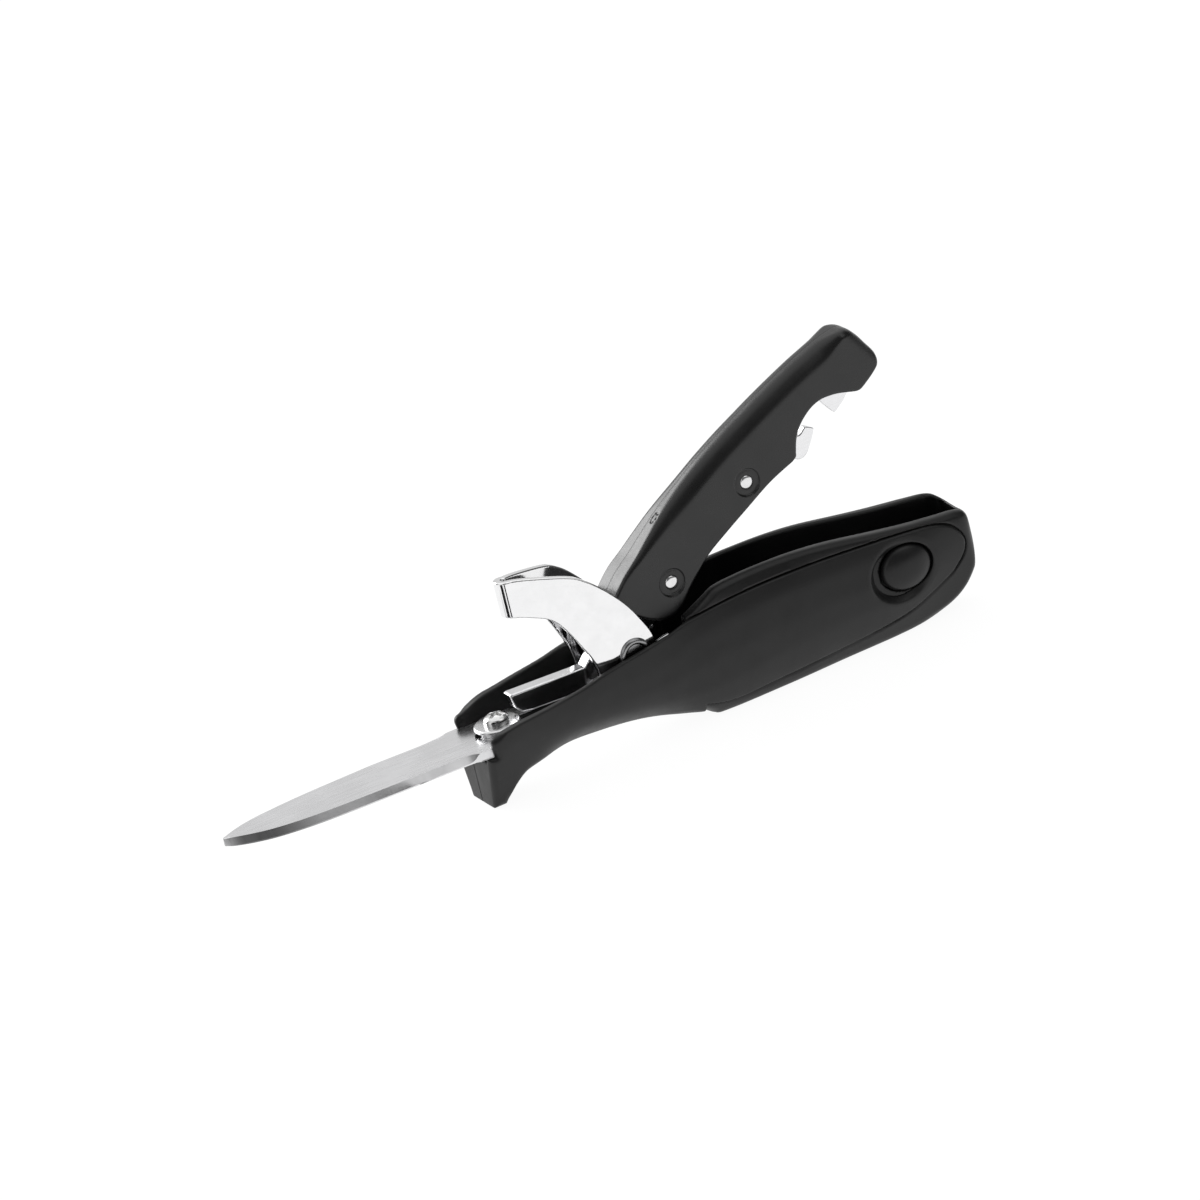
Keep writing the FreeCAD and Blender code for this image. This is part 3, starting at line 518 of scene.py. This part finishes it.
def cover_field(x, y, z):
    a = np.abs(y)
    outer = WIDTH.distance(x, y, z) + 0.02
    # the far wall of the open front stands a little higher than the near one
    side = cover_side(x, z - np.where(y > 0, 1.8 - 0.55 * np.exp(-((x + 35.0) / 6.0) ** 2), 0.0) * ease((x + 43.5) / 9.0) * ease((4.0 - x) / 12.0) * ease((z + 9.0) / 4.0))
    # the joint with the frame's band is crisp; the grip's underside and the guard's corners are well rounded
    r = 0.5 + 1.5 * ease((-11.5 - z) / 4.0) * ease((19.0 - x) / 7.0) * ease((x + 41.0) / 5.0) + 1.3 * ease((-41.0 - x) / 3.0)
    rear = ease((x - 14.0) / 5.0)
    d = both(outer, side + GAP * rear, r)
    # inside: the open channel at the front, the frame's flank at the rear
    chan = both(channel(x, a) + 1.0 * ease((-6.5 - z) / 5.0), -(z + 12.3), 0.4)
    chan = np.where(x > 17, 5.0, chan)
    d = less(d, chan, 0.45)
    d = less(d, both(-(x - 16.4), a - 9.75), 0.0)
    # the dish round the lock's push face: sharp towards the front, fading into the flank behind
    cx, cz = FACE_X - 1.7, FACE_Z - 0.5
    w = WIDTH.read(WIDTH.table, x, z)
    ov = oval(x, z, cx, cz, 10.9, 8.9)
    k = ease(0.62 - 0.055 * (x - cx) - 0.02 * (z - cz))
    depth = 0.35 + 2.3 * k
    slope = ease(-ov / 2.9)
    d = less(d, both(ov, w - depth * slope - a), 0.22)
    d = less(d, oval(x, z, FACE_X, FACE_Z, FACE_A + 0.32, FACE_B + 0.32), 0.3)
    # round wells over the screw heads on the far side
    for sx, sz, seat in ((-30.0, -14.9, 7.35), (30.0, -18.6, 9.95), (70.0, -17.6, 9.95)):
        d = less(d, both(np.sqrt((x - sx) ** 2 + (z - sz) ** 2) - 2.4, -(y - seat)), 0.15)
    # the split between the two halves shows on the guard's face
    d = both(d, -(a - 0.03), 0.12)
    return d


def trough(x, y, z):
    """The open channel in the frame."""
    a = np.abs(y)
    u = x - (103.0 - 3.6)
    v = a - (6.4 - 3.6)
    plan = np.where((u > 0) & (v > 0), np.sqrt(u * u + v * v) - 3.6, np.maximum(x - 103.0, a - 6.4))
    floor = -(z + 14.6)
    back = (x - 103.25) + 0.06 * np.clip(-7.6 - z, 0, 9) ** 1.9
    return both(both(plan, floor, 1.5), back, 1.0)


def frame_field(x, y, z):
    a = np.abs(y)
    s = np.clip(y / 3.0, -1.0, 1.0)
    d = frame_side(x, z - (0.475 * s - 0.125) * ease((z + 4.0) / 6.0))
    side = cover_side(x, z)
    w = WIDTH.read(WIDTH.table, x, z)
    gx, gz = WIDTH.read(WIDTH.gx, x, z), WIDTH.read(WIDTH.gz, x, z)
    wide = (a - (w - 0.04)) / np.sqrt(1 + gx * gx + gz * gz)
    corner = 5.2 - 1.5 * s
    u, v = x - (104.8 - corner), a - (11.0 - corner)
    plan = np.where((u > 0) & (v > 0), np.sqrt(u * u + v * v) - corner, np.maximum(x - 104.8, a - 11.0))
    top = ease((z - 2.0) / 3.0)
    r = 1.9 * (1 - top) + 1.5 * top
    r = r * (1 - 0.35 * ease((-24.0 - z) / 2.0))
    d = both(d, both(wide, plan, 0.8), r)
    # the seat for each cover
    d = less(d, both(side - 0.24, -(a - 9.8)), 0.2)
    d = less(d, trough(x, y, z), 0.8)
    d = both(d, -(x - 13.5), 0.8)
    d = less(d, both(both(x - 16.0, -(z + 12.3)), a - 10.0), 0.6)
    d = both(d, np.where((x < 17.5) & (z > -22.0), a - 9.8, -5.0), 0.0)
    # the push faces' wells
    d = less(d, both(oval(x, z, FACE_X, FACE_Z, FACE_A + 0.32, FACE_B + 0.32), -(a - 7.15)))
    return d


BOTTOM_KEEP = 0.55
near = solid("cover_near", lambda x, y, z: cover_field(x, y, z), (-49, -14, -28), (102, 0.6, 6.5), 0.42 * FINE + 0.1, "handle", COVER,
             ("handle_cover_near",), keep=BOTTOM_KEEP)
far = solid("cover_far", lambda x, y, z: cover_field(x, y, z), (-49, -0.6, -28), (102, 14, 6.5), 0.42 * FINE + 0.1, "handle", COVER,
            ("handle_cover_far",), keep=BOTTOM_KEEP)
body = solid("frame_band", frame_field, (12, -13.6, -28), (106.5, 13.6, 11.8), 0.42 * FINE + 0.1, "handle", NYLON,
             ("handle_frame",), keep=BOTTOM_KEEP)

# ------------------------------------------------------------------ blade
BLADE_TOP, BLADE_T = -8.4, 2.4
HALF = spline([(-47.6, 9.9), (-52, 9.65), (-60, 9.55), (-72, 9.55), (-85, 9.4), (-94, 9.05), (-101, 8.3), (-107, 7.1), (-111.4, 5.5), (-114.6, 3.9),
               (-116.6, 2.7), (-117.6, 1.8), (-118.1, 0.95), (-118.3, 0.2)], 7)
sections = [(-27.5, 5.6, 5.6, 0.02), (-31.0, 9.0, 9.0, 0.02), (-43.8, 9.0, 9.0, 0.02), (-44.4, 9.5, 9.5, 0.02), (-45.4, 9.9, 9.9, 0.02)]
for x, w in HALF:
    start = np.clip((-x - 49.5) / 3.4, 0, 1)
    start = math.sqrt(max(0.0, 1 - (1 - start) ** 2))
    sections.append((x, w, w - min(1.35, 0.55 * w) * start, 0.02 + 1.75 * start))
v, faces, mats = [], [], []
for x, w, flat, thin in sections:
    t = max(0.0, (-x - 46.0) / 74.0)
    end = float(np.clip((-x - 112.0) / 8.3, 0, 1)) ** 2
    lift, yaw = 1.7 * t, 1.3 * t
    zt, zb = BLADE_TOP + lift - 0.35 * end, BLADE_TOP - BLADE_T + lift + 0.2 * end
    k = float(np.clip((-x - 52.0) / 26.0, 0, 1))
    trim = 1.0 - 0.19 * float(np.clip((-x - 72.0) / 30.0, 0, 1))
    far, ffar, drop = w * trim, flat * trim, thin * (0.22 + 0.78 * k)
    v += [(x, yaw - flat, zt), (x, yaw - w, zt - thin), (x, yaw - w + 0.12, zb + 0.25), (x, yaw - flat, zb), (x, yaw + ffar, zb),
          (x, yaw + far - 0.12, zb + 0.25), (x, yaw + far, zt - drop), (x, yaw + ffar, zt)]
n = 8
for i in range(len(sections) - 1):
    for j in range(n):
        k = (j + 1) % n
        faces.append((i * n + j, i * n + k, (i + 1) * n + k, (i + 1) * n + j))
        mats.append(1 if j in (0, 2, 4, 6) else (2 if j in (1, 5) else 0))
faces.append(tuple(range(n)))
mats.append(0)
last = (len(sections) - 1) * n
faces.append(tuple(last + j for j in range(n)))
mats.append(0)
blade = mesh_object("blade_ground", v, faces, "handle", BLADE_M, ("blade",))
blade.data.materials.append(BEVEL_M)
blade.data.materials.append(BEVEL_M)
blade.data.polygons.foreach_set("material_index", mats)
mod = blade.modifiers.new("edges", "BEVEL")
mod.width = 0.00009
mod.segments = 2
mod.limit_method = "ANGLE"
mod.angle_limit = math.radians(28)
for p in blade.data.polygons:
    p.use_smooth = True
mod2 = blade.modifiers.new("normals", "WEIGHTED_NORMAL")

# ------------------------------------------------------------------ washers, screw
SX = -38.4


def washer_profile(r_in, r_out, z0, z1, round_=0.16):
    return fillet([(r_in, z0), (r_in, z1), (r_out, z1), (r_out, z0), (r_in, z0)], round_)


lathe("washer_lower", fillet([(1.95, BLADE_TOP), (1.95, BLADE_TOP + 0.86), (5.6, BLADE_TOP + 0.86), (5.6, BLADE_TOP), (1.95, BLADE_TOP)], 0.14),
      (SX, 0, 0), "Z", "handle", WASHER_M, ("blade_lock_washer",))
lathe("washer_upper", fillet([(1.95, BLADE_TOP + 0.9), (1.95, BLADE_TOP + 1.82), (2.4, BLADE_TOP + 1.9), (5.9, BLADE_TOP + 1.9), (6.3, BLADE_TOP + 1.6),
                              (6.3, BLADE_TOP + 1.1), (6.05, BLADE_TOP + 0.9), (1.95, BLADE_TOP + 0.9)], 0.18),
      (SX, 0, 0), "Z", "handle", WASHER_M, ("blade_washer",))


def screw_field(x, y, z):
    u, v = x - SX, y
    r = np.sqrt(u * u + v * v)
    zz = z - (BLADE_TOP + 1.9)
    dome = np.sqrt(r * r + (zz + 3.6) ** 2) - 6.1
    head = both(both(dome, r - 3.45, 0.45), -(zz + 0.02))
    ca, sa = math.cos(0.5), math.sin(0.5)
    p, q = u * ca + v * sa, -u * sa + v * ca
    slope = np.clip(zz - 1.0, 0, 2) * 0.28
    a1 = np.maximum(np.abs(p) - 1.75 - slope, np.abs(q) - 0.36 - slope * 0.5)
    a2 = np.maximum(np.abs(q) - 1.75 - slope, np.abs(p) - 0.36 - slope * 0.5)
    core = r - 0.75 - slope
    cross = np.maximum(np.minimum(np.minimum(a1, a2), core), -(zz - 1.0))
    return less(head, cross, 0.10)


solid("pan_screw", screw_field, (SX - 4, -4, BLADE_TOP + 1.7), (SX + 4, 4, BLADE_TOP + 4.4), 0.11, "handle", SCREW_M, ("blade_screw",))

# ------------------------------------------------------------------ stirrup
UPPER = spline([(7.3, -0.4), (6.35, 2.5), (5.2, 5.6), (3.5, 9.0), (1.8, 12.1), (-0.7, 15.9), (-5.4, 21.4), (-8.8, 24.4),
                (-12.3, 26.4), (-20, 28.5), (-26.2, 29.7), (-34.2, 30.25)], 10)
LOWER = spline([(-34.2, 20.9), (-27.5, 19.6), (-22.5, 17.9), (-19.6, 16.6), (-17.4, 14.6), (-15.2, 11.0), (-13.1, 6.5),
                (-11.4, 2.7), (-10.4, -2.2), (-10.4, -8.0), (-9.8, -10.3), (-8.6, -10.65)], 10)
stirrup_side = Outline(UPPER + LOWER + [(1.5, -10.65), (6.6, -6.5)])
NOSE_X, NOSE_R, ARM = -29.9, 2.9, 9.4


def strap_line(inset, per=24):
    r, half = NOSE_R - inset, ARM - inset
    cx = NOSE_X + NOSE_R
    spread = math.radians(17.5)
    pts = []
    for k in range(per + 1):
        a = math.pi - (math.pi / 2 + spread) * k / per
        pts.append((cx + r * math.cos(a), r * math.sin(a)))
    x1, y1 = pts[-1]
    knee = x1 + (half - y1) / math.tan(spread)
    big = 9.0
    t = big * math.tan(spread / 2)
    for k in range(9):
        a = spread * k / 8
        pts.append((knee + t - big * math.sin(spread) + big * (math.sin(spread) - math.sin(spread - a)),
                    half - big * (1 - math.cos(spread - a))))
    pts.append((20.0, half))
    return pts


mid = strap_line(1.0)
strap_plan = Outline(mid + [(x, -y) for x, y in reversed(mid[1:])] , 0.1, 5.0)


def strap_distance(x, y):
    return np.abs(strap_plan(x, y)) - 1.0


def stirrup_field(x, y, z):
    d = strap_distance(x, y)
    d = np.where(x > 12, np.abs(np.abs(y) - 8.4) - 1.0, d)
    side = stirrup_side(x, z)
    d = both(d, side, 0.42)
    # a round hole through the strap for the rivet, its edge slightly rounded
    r = np.sqrt(x * x + z * z)
    d = less(d, r - 3.62, 0.1)
    return d


solid("stirrup_loop", stirrup_field, (-34, -10.6, -11.6), (9, 10.6, 31.5), 0.32 * FINE + 0.06, "handle", CHROME, ("stirrup",), keep=0.7)

# ------------------------------------------------------------------ pivot rivet: a tube with rolled ends
ring = [(2.7, -10.0), (2.7, 10.0)]
profile = [(2.7, -9.6)]
for k in range(9):
    a = math.pi * k / 8
    profile.append((3.55 - 0.85 * math.cos(a), -9.55 - 0.72 * math.sin(a)))
profile += [(4.45, -9.42), (3.6, -9.38), (3.58, 9.38), (4.45, 9.42)]
for k in range(9):
    a = math.pi * (8 - k) / 8
    profile.append((3.55 - 0.85 * math.cos(a), 9.55 + 0.72 * math.sin(a)))
profile += [(2.7, 9.6), (2.7, -9.6)]
lathe("rivet_tube", profile, (0, 0, 0), "Y", "handle", RIVET_DARK, ("pivot_rivet",))


# ------------------------------------------------------------------ lever
CORE = (
    [(-32.6, -2.0), (-12.0, -2.9), (-8.8, 0.9), (-6.6, 5.2), (-3.0, 9.6), (2.0, 14.8), (11.8, 21.6), (20.8, 28.0), (31.6, 33.7),
     (45.7, 40.4), (59.9, 47.7), (74.1, 54.9), (81.0, 57.6), (84.6, 52.0), (84.9, 49.0), (83.2, 46.6), (80.3, 45.0),
     (80.2, 43.4)]
    + [(79.8, 41.4), (78.4, 39.9), (75.8, 38.0), (75.2, 37.8), (74.6, 38.2), (72.8, 40.6), (71.0, 43.2), (69.6, 45.2), (66.6, 44.6), (63.4, 42.0), (61.0, 38.6), (60.6, 36.9)]
    + [(62.2, 36.2), (63.4, 35.4), (64.4, 35.9), (65.6, 37.0), (66.4, 36.9), (67.2, 36.5), (68.15, 35.9)]
    + spline([(68.2, 35.7), (67.2, 33.6), (65.2, 30.6), (63.8, 29.35), (62.0, 29.2), (60.4, 30.2), (58.6, 31.6)], 4)
    + [(48.3, 26.4), (37.7, 21.4), (29.4, 15.3), (24.9, 12.1), (17.8, 6.4), (10.5, 2.2), (7.2, -1.0), (5.6, -4.4), (2.6, -6.6),
       (-1.5, -7.1), (-8.0, -7.35), (-18.4, -7.15), (-28.6, -6.55), (-31.4, -5.85)]
)
core_side = Outline(CORE, 0.1)


def core_field(x, y, z):
    d = both(core_side(x, z), np.abs(y) - 1.08, 0.16)
    return less(d, np.sqrt(x * x + z * z) - 4.92)


solid("core_plate", core_field, (-34, -1.7, -8.2), (86.5, 1.7, 59.0), 0.30 * FINE + 0.04, "lever", CORE_M, ("lever_core",), keep=0.5)

JAW = [(-33.85, -0.5), (-33.2, -0.2), (-11.6, -1.2), (-8.2, 2.4), (-7.2, 1.9), (-7.2, -6.85), (-18.4, -7.15), (-28.6, -6.55), (-31.5, -6.0), (-33.0, -4.3)]
jaw_side = Outline(JAW, 0.1)


def jaw_field(x, y, z):
    d = both(jaw_side(x, z), np.abs(y) - 2.08, 0.5)
    slot_ = both(np.abs(y) - 1.12, core_side(x, z) - 0.02)
    return less(d, slot_, 0.05)


solid("jaw_fold", jaw_field, (-35, -2.9, -8.2), (-6.2, 2.9, 3.6), 0.16, "lever", CORE_M, ("cracker_jaw",), keep=0.7)

BACK = spline([(-3.2, 11.6), (3.3, 18.7), (8.6, 22.8), (12.9, 26.3), (20.0, 31.8), (30.7, 38.6), (40.0, 43.7), (47.9, 47.5),
               (55.0, 50.8), (64.4, 54.8), (70.0, 56.9), (75.0, 58.6), (80.0, 59.75)], 6)
END = spline([(80.0, 59.75), (82.9, 59.6), (85.0, 58.5), (87.0, 56.2), (88.7, 51.8), (89.1, 49.4), (88.4, 47.3), (86.4, 45.4), (84.0, 43.7), (82.9, 43.0)], 5)
MOUTH = spline([(82.9, 43.0), (82.1, 42.6), (81.2, 42.5), (80.0, 42.7), (75.5, 43.9), (72.6, 44.25), (70.0, 44.2), (67.2, 43.3), (64.6, 41.6), (62.4, 39.4),
                (60.8, 36.6), (59.9, 33.4), (59.55, 32.0), (58.2, 31.0)], 6)
BELLY = spline([(58.2, 31.0), (50.6, 28.1), (42.4, 23.7), (36.0, 20.2), (29.2, 16.2), (24.9, 12.6), (22.0, 9.8), (18.6, 6.0), (15.7, 4.2), (12.6, 3.7),
                (9.7, 4.4), (7.2, 5.8), (4.6, 7.8), (2.0, 9.4), (-0.4, 9.95), (-3.2, 11.6)], 6)
OLD_BELLY = Outline([(30, 16.2), (24.9, 12.4), (17.8, 7.2), (13.6, 7.0), (10.2, 8.1), (7.0, 9.4), (2.6, 10.9), (-0.4, 9.9), (-6, 9), (-6, -4), (30, -4)], 0.2)
scale_side = Outline(BACK + END[1:] + MOUTH[1:] + BELLY[1:-1], 0.12)
RIVETS = ((43.9, 30.8), (16.6, 12.8))
BACK_X = np.array([q[0] for q in BACK])
BACK_Z = np.array([q[1] for q in BACK])
COS36, SIN36 = math.cos(math.radians(36)), math.sin(math.radians(36))


def scale_field(x, y, z):
    a = np.abs(y)
    d = scale_side(x, z)
    xc = x * COS36 + z * SIN36                 # along the lever when it is closed
    u, v = xc - (102.4 - 4.0), a - (5.48 - 4.0)
    plan = np.where((u > 0) & (v > 0), np.sqrt(u * u + v * v) - 4.0, np.maximum(xc - 102.4, a - 5.48))
    # the back is arched across its width, flattening towards the pivot; the belly keeps a small radius
    zb = np.interp(x, BACK_X, BACK_Z)
    arch = 1.0 + 3.9 * ease((x - 1.0) / 30.0) * (1 - 0.78 * ease((x - 73.0) / 9.0))
    near_back = ease((z - (zb - 9.5)) / 4.0)
    d = both(d, plan, 0.8 + (arch - 0.8) * near_back)
    # only a thin skirt reaches below the legs of the spring
    d = less(d, both(a - 4.95, OLD_BELLY(x, z)))
    d = less(d, np.sqrt(x * x + z * z) - 6.7)
    d = both(d, -(a - 0.03), 0.15)
    # a small moulded oval mark beside the joint line on the back
    ring = np.abs(np.sqrt(((x - 17.6) / 1.25) ** 2 + ((y + 1.5) / 0.8) ** 2) - 1) * 0.8 - 0.10
    d = less(d, both(ring, -(z - 24.0)) + np.clip(-d - 0.22, 0, 9) * 3.0, 0.05)
    d = less(d, both(a - 1.12, core_side(x, z) - 0.06))
    for cx, cz in RIVETS:
        r = np.sqrt((x - cx) ** 2 + (z - cz) ** 2)
        d = less(d, both(r - 3.75, -(a - 5.0)), 0.22)
        groove = np.sqrt((r - 3.35) ** 2 + (a - 5.0) ** 2) - 0.16
        d = less(d, groove)
        d = less(d, r - 1.82)
    return d


solid("scale_near", scale_field, (-4.5, -6.2, 3.0), (90.4, 0.4, 61), 0.36 * FINE + 0.06, "lever", SCALE_M, ("lever_scale_near",), keep=0.6)
solid("scale_far", scale_field, (-4.5, -0.4, 3.0), (90.4, 6.2, 61), 0.36 * FINE + 0.06, "lever", SCALE_M, ("lever_scale_far",), keep=0.6)

pieces = []
for i, (cx, cz) in enumerate(RIVETS):
    prof = [(0.0, -5.3), (0.6, -5.29), (1.1, -5.24), (1.5, -5.14), (1.72, -5.02), (1.78, -4.9), (1.78, 4.9), (1.72, 5.02), (1.5, 5.14), (1.1, 5.24), (0.6, 5.29), (0.0, 5.3)]
    made = lathe("lever_pin_%d" % i, prof, (cx, 0, cz), "Y", "lever", RIVET_M, ("lever_rivets",) if i == 0 else ())
    pieces.append(made)

# bush
lathe("bush_sleeve", fillet([(3.68, -7.15), (3.68, 7.15), (4.88, 7.15), (4.88, -7.15), (3.68, -7.15)], 0.2), (0, 0, 0), "Y", "lever", BUSH_M,
      ("pivot_bush",))


# ------------------------------------------------------------------ return spring
def wire_piece(name, paths, radius, body, material, nodes):
    cu = bpy.data.curves.new(name, "CURVE")
    cu.dimensions = "3D"
    cu.bevel_depth = radius / 1000
    cu.bevel_resolution = 5
    cu.use_fill_caps = True
    cu.resolution_u = 4
    for path in paths:
        sp = cu.splines.new("POLY")
        sp.points.add(len(path) - 1)
        for q, p in zip(sp.points, path):
            q.co = ((p[0] + PX) / 1000, p[1] / 1000, (p[2] + PZ) / 1000, 1)
    curve = bpy.data.objects.new(name + "_curve", cu)
    bpy.context.scene.collection.objects.link(curve)
    dg = bpy.context.evaluated_depsgraph_get()
    data = bpy.data.meshes.new_from_object(curve.evaluated_get(dg))
    bpy.data.objects.remove(curve)
    obj = bpy.data.objects.new(name, data)
    bpy.context.scene.collection.objects.link(obj)
    data.materials.clear()
    data.materials.append(material)
    data.polygons.foreach_set("use_smooth", [True] * len(data.polygons))
    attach(obj, body)
    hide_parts(*nodes)
    return obj


paths = []
for sign in (1, -1):
    path = []
    turns = 2.9
    for k in range(120):
        t = k / 119
        a = math.radians(-90) - 2 * math.pi * turns * (1 - t)
        path.append((5.75 * math.cos(a), sign * (1.85 + 2.4 * t), 5.75 * math.sin(a)))
    leg = spline([(0.4, -5.75), (3.2, -5.65), (6.2, -4.9), (7.9, -3.2), (9.2, -1.7), (10.6, -1.25), (12.6, -0.95)], 6)
    path += [(x, sign * 4.25, z) for x, z in leg]
    paths.append(path)
wire_piece("spring_wire", paths, 0.58, "handle", SPRING_M, ("return_spring",))

# ------------------------------------------------------------------ lock faces
def face_field(y_back, y_front):
    sign = 1 if y_front > y_back else -1
    depth = abs(y_front - y_back)

    def field(x, y, z):
        k = ((x - FACE_X) / FACE_A) ** 2 + ((z - FACE_Z) / FACE_B) ** 2
        h = (y - y_back) * sign
        q = np.sqrt(np.clip(k, 0, None) + 1e-9)
        ov = oval(x, z, FACE_X, FACE_Z, FACE_A, FACE_B)
        cap = h - (depth - 0.62 * depth * np.clip(q, 0, 1.3) ** 2.4)
        return both(both(ov, cap * 0.82, 0.9), -h, 0.25)
    return field


solid("push_face_near", face_field(-9.8, -12.9), (FACE_X - 8.4, -13.6, FACE_Z - 7.2), (FACE_X + 8.4, -9.2, FACE_Z + 7.2), 0.22, "lock", BUTTON_M,
      ("lock_button_near",))
solid("push_face_far", face_field(7.3, 10.4), (FACE_X - 8.4, 6.6, FACE_Z - 7.2), (FACE_X + 8.4, 11.1, FACE_Z + 7.2), 0.22, "lock", BUTTON_M,
      ("lock_button_far",))

# ------------------------------------------------------------------ CAD pieces that stay as they are
for name, mat in (("chassis_plate", PLATE_M), ("blade_nut", SCREW_M), ("lever_stop_pin", RIVET_M), ("cover_screw_front", SCREW_M),
                  ("cover_screws_rear", SCREW_M), ("chassis_screws", SCREW_M), ("lock_bolt", SCREW_M)):
    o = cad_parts[name]
    o.data.materials.clear()
    o.data.materials.append(mat)

# ------------------------------------------------------------------ stage, light, camera
floor_mat, ft, fb = new_material("floor_white")
fv = coords(ft)
fn = node(ft, "ShaderNodeTexNoise", Scale=6.0, Detail=2.0)
ft.links.new(fv, fn.inputs["Vector"])
ft.links.new(ramp(ft, fn.outputs["Fac"], [(0.3, 0.10), (0.7, 0.12)]), fb.inputs["Base Color"])
fb.inputs["Roughness"].default_value = 0.95
fb.inputs["Specular IOR Level"].default_value = 0.0
fb.inputs["Emission Color"].default_value = (1, 1, 1, 1)
fb.inputs["Emission Strength"].default_value = 0.94
bpy.ops.mesh.primitive_plane_add(size=12, location=(0, 0, -0.0002))
floor = bpy.context.active_object
floor.name = "floor"
floor.data.materials.append(floor_mat)

card_mat, ct, cb = new_material("card_black")
cn = node(ct, "ShaderNodeTexNoise", Scale=20.0, Detail=2.0)
ct.links.new(coords(ct), cn.inputs["Vector"])
ct.links.new(ramp(ct, cn.outputs["Fac"], [(0.3, 0.004), (0.7, 0.008)]), cb.inputs["Base Color"])
cb.inputs["Roughness"].default_value = 0.9
cb.inputs["Specular IOR Level"].default_value = 0.0


def card(name, centre, direction, width, height):
    """A narrow black flag standing near the loop; it is kept out of the picture and out of the light."""
    c = Vector(centre) / 1000
    n = Vector(direction).normalized()
    side = n.cross(Vector((0, 0, 1))).normalized() * width / 2000
    rise = side.cross(n).normalized() * height / 2000
    data = bpy.data.meshes.new(name)
    data.from_pydata([c - side - rise, c + side - rise, c + side + rise, c - side + rise], [], [(0, 1, 2, 3)])
    o = bpy.data.objects.new(name, data)
    bpy.context.scene.collection.objects.link(o)
    data.materials.append(card_mat)
    o.visible_camera = False
    o.visible_diffuse = False
    o.visible_shadow = False
    return o


nose = Vector((NOSE_X + NOSE_R + PX, 0, 25.0 + PZ))
for i, (turn, wide) in enumerate(((-150, 22), (-120, 10))):
    aim = Vector((math.cos(math.radians(turn)), math.sin(math.radians(turn)), -0.41))
    card("flag_%d" % i, nose + aim * 46, aim, wide, 46)

# the studio: a grey surround with a few large soft panels, all far away
world = bpy.data.worlds.new("studio")
bpy.context.scene.world = world
world.use_nodes = True
wt = world.node_tree
for n in list(wt.nodes):
    wt.nodes.remove(n)
wout = wt.nodes.new("ShaderNodeOutputWorld")
bg = wt.nodes.new("ShaderNodeBackground")
wt.links.new(bg.outputs[0], wout.inputs["Surface"])
wc = wt.nodes.new("ShaderNodeTexCoord")
total = None


def panel(azimuth, elevation, inner, outer, strength):
    """A round soft panel in the surround: full inside one angle, gone beyond the other."""
    global total
    az, el = math.radians(azimuth), math.radians(elevation)
    d = wt.nodes.new("ShaderNodeVectorMath")
    d.operation = "DOT_PRODUCT"
    d.inputs[1].default_value = (math.cos(el) * math.cos(az), math.cos(el) * math.sin(az), math.sin(el))
    wt.links.new(wc.outputs["Generated"], d.inputs[0])
    m = wt.nodes.new("ShaderNodeMapRange")
    m.interpolation_type = "SMOOTHSTEP"
    m.inputs["From Min"].default_value = math.cos(math.radians(outer))
    m.inputs["From Max"].default_value = math.cos(math.radians(inner))
    m.inputs["To Min"].default_value = 0.0
    m.inputs["To Max"].default_value = strength
    wt.links.new(d.outputs["Value"], m.inputs["Value"])
    if total is None:
        total = m.outputs[0]
    else:
        add = wt.nodes.new("ShaderNodeMath")
        add.operation = "ADD"
        wt.links.new(total, add.inputs[0])
        wt.links.new(m.outputs[0], add.inputs[1])
        total = add.outputs[0]


panel(80, 76, 16, 50, 0.95)            # overhead
panel(62, 24, 16, 42, 0.62)           # behind, seen in the blade's flat
panel(119, 24, 9, 27, 7.5)           # behind and left, seen in the lever's back
panel(200, 25, 10, 40, 0.9)           # left
panel(-52, 47, 9, 28, 1.0)           # high in front
base = wt.nodes.new("ShaderNodeMath")
base.operation = "ADD"
wt.links.new(total, base.inputs[0])
base.inputs[1].default_value = 0.10
wt.links.new(base.outputs[0], bg.inputs["Strength"])
bg.inputs["Color"].default_value = (1, 1, 1, 1)

cam = bpy.data.cameras.new("camera")
cam.sensor_width = 36.0
cam.lens = 184.6
cam.clip_start, cam.clip_end = 0.05, 30
camera = bpy.data.objects.new("camera", cam)
bpy.context.scene.collection.objects.link(camera)
right = Vector((0.856, -0.470, -0.2155)).normalized()
back = Vector((-0.3679, -0.8466, 0.3848)).normalized()
up = back.cross(right).normalized()
right = up.cross(back).normalized()
target = Vector((PX + 0.15, 5.17, PZ + 11.5)) / 1000
place = target + back * 1.6
camera.matrix_world = Matrix(((right.x, up.x, back.x, place.x), (right.y, up.y, back.y, place.y), (right.z, up.z, back.z, place.z), (0, 0, 0, 1)))
bpy.context.scene.camera = camera
bpy.context.scene.view_settings.view_transform = "Standard"
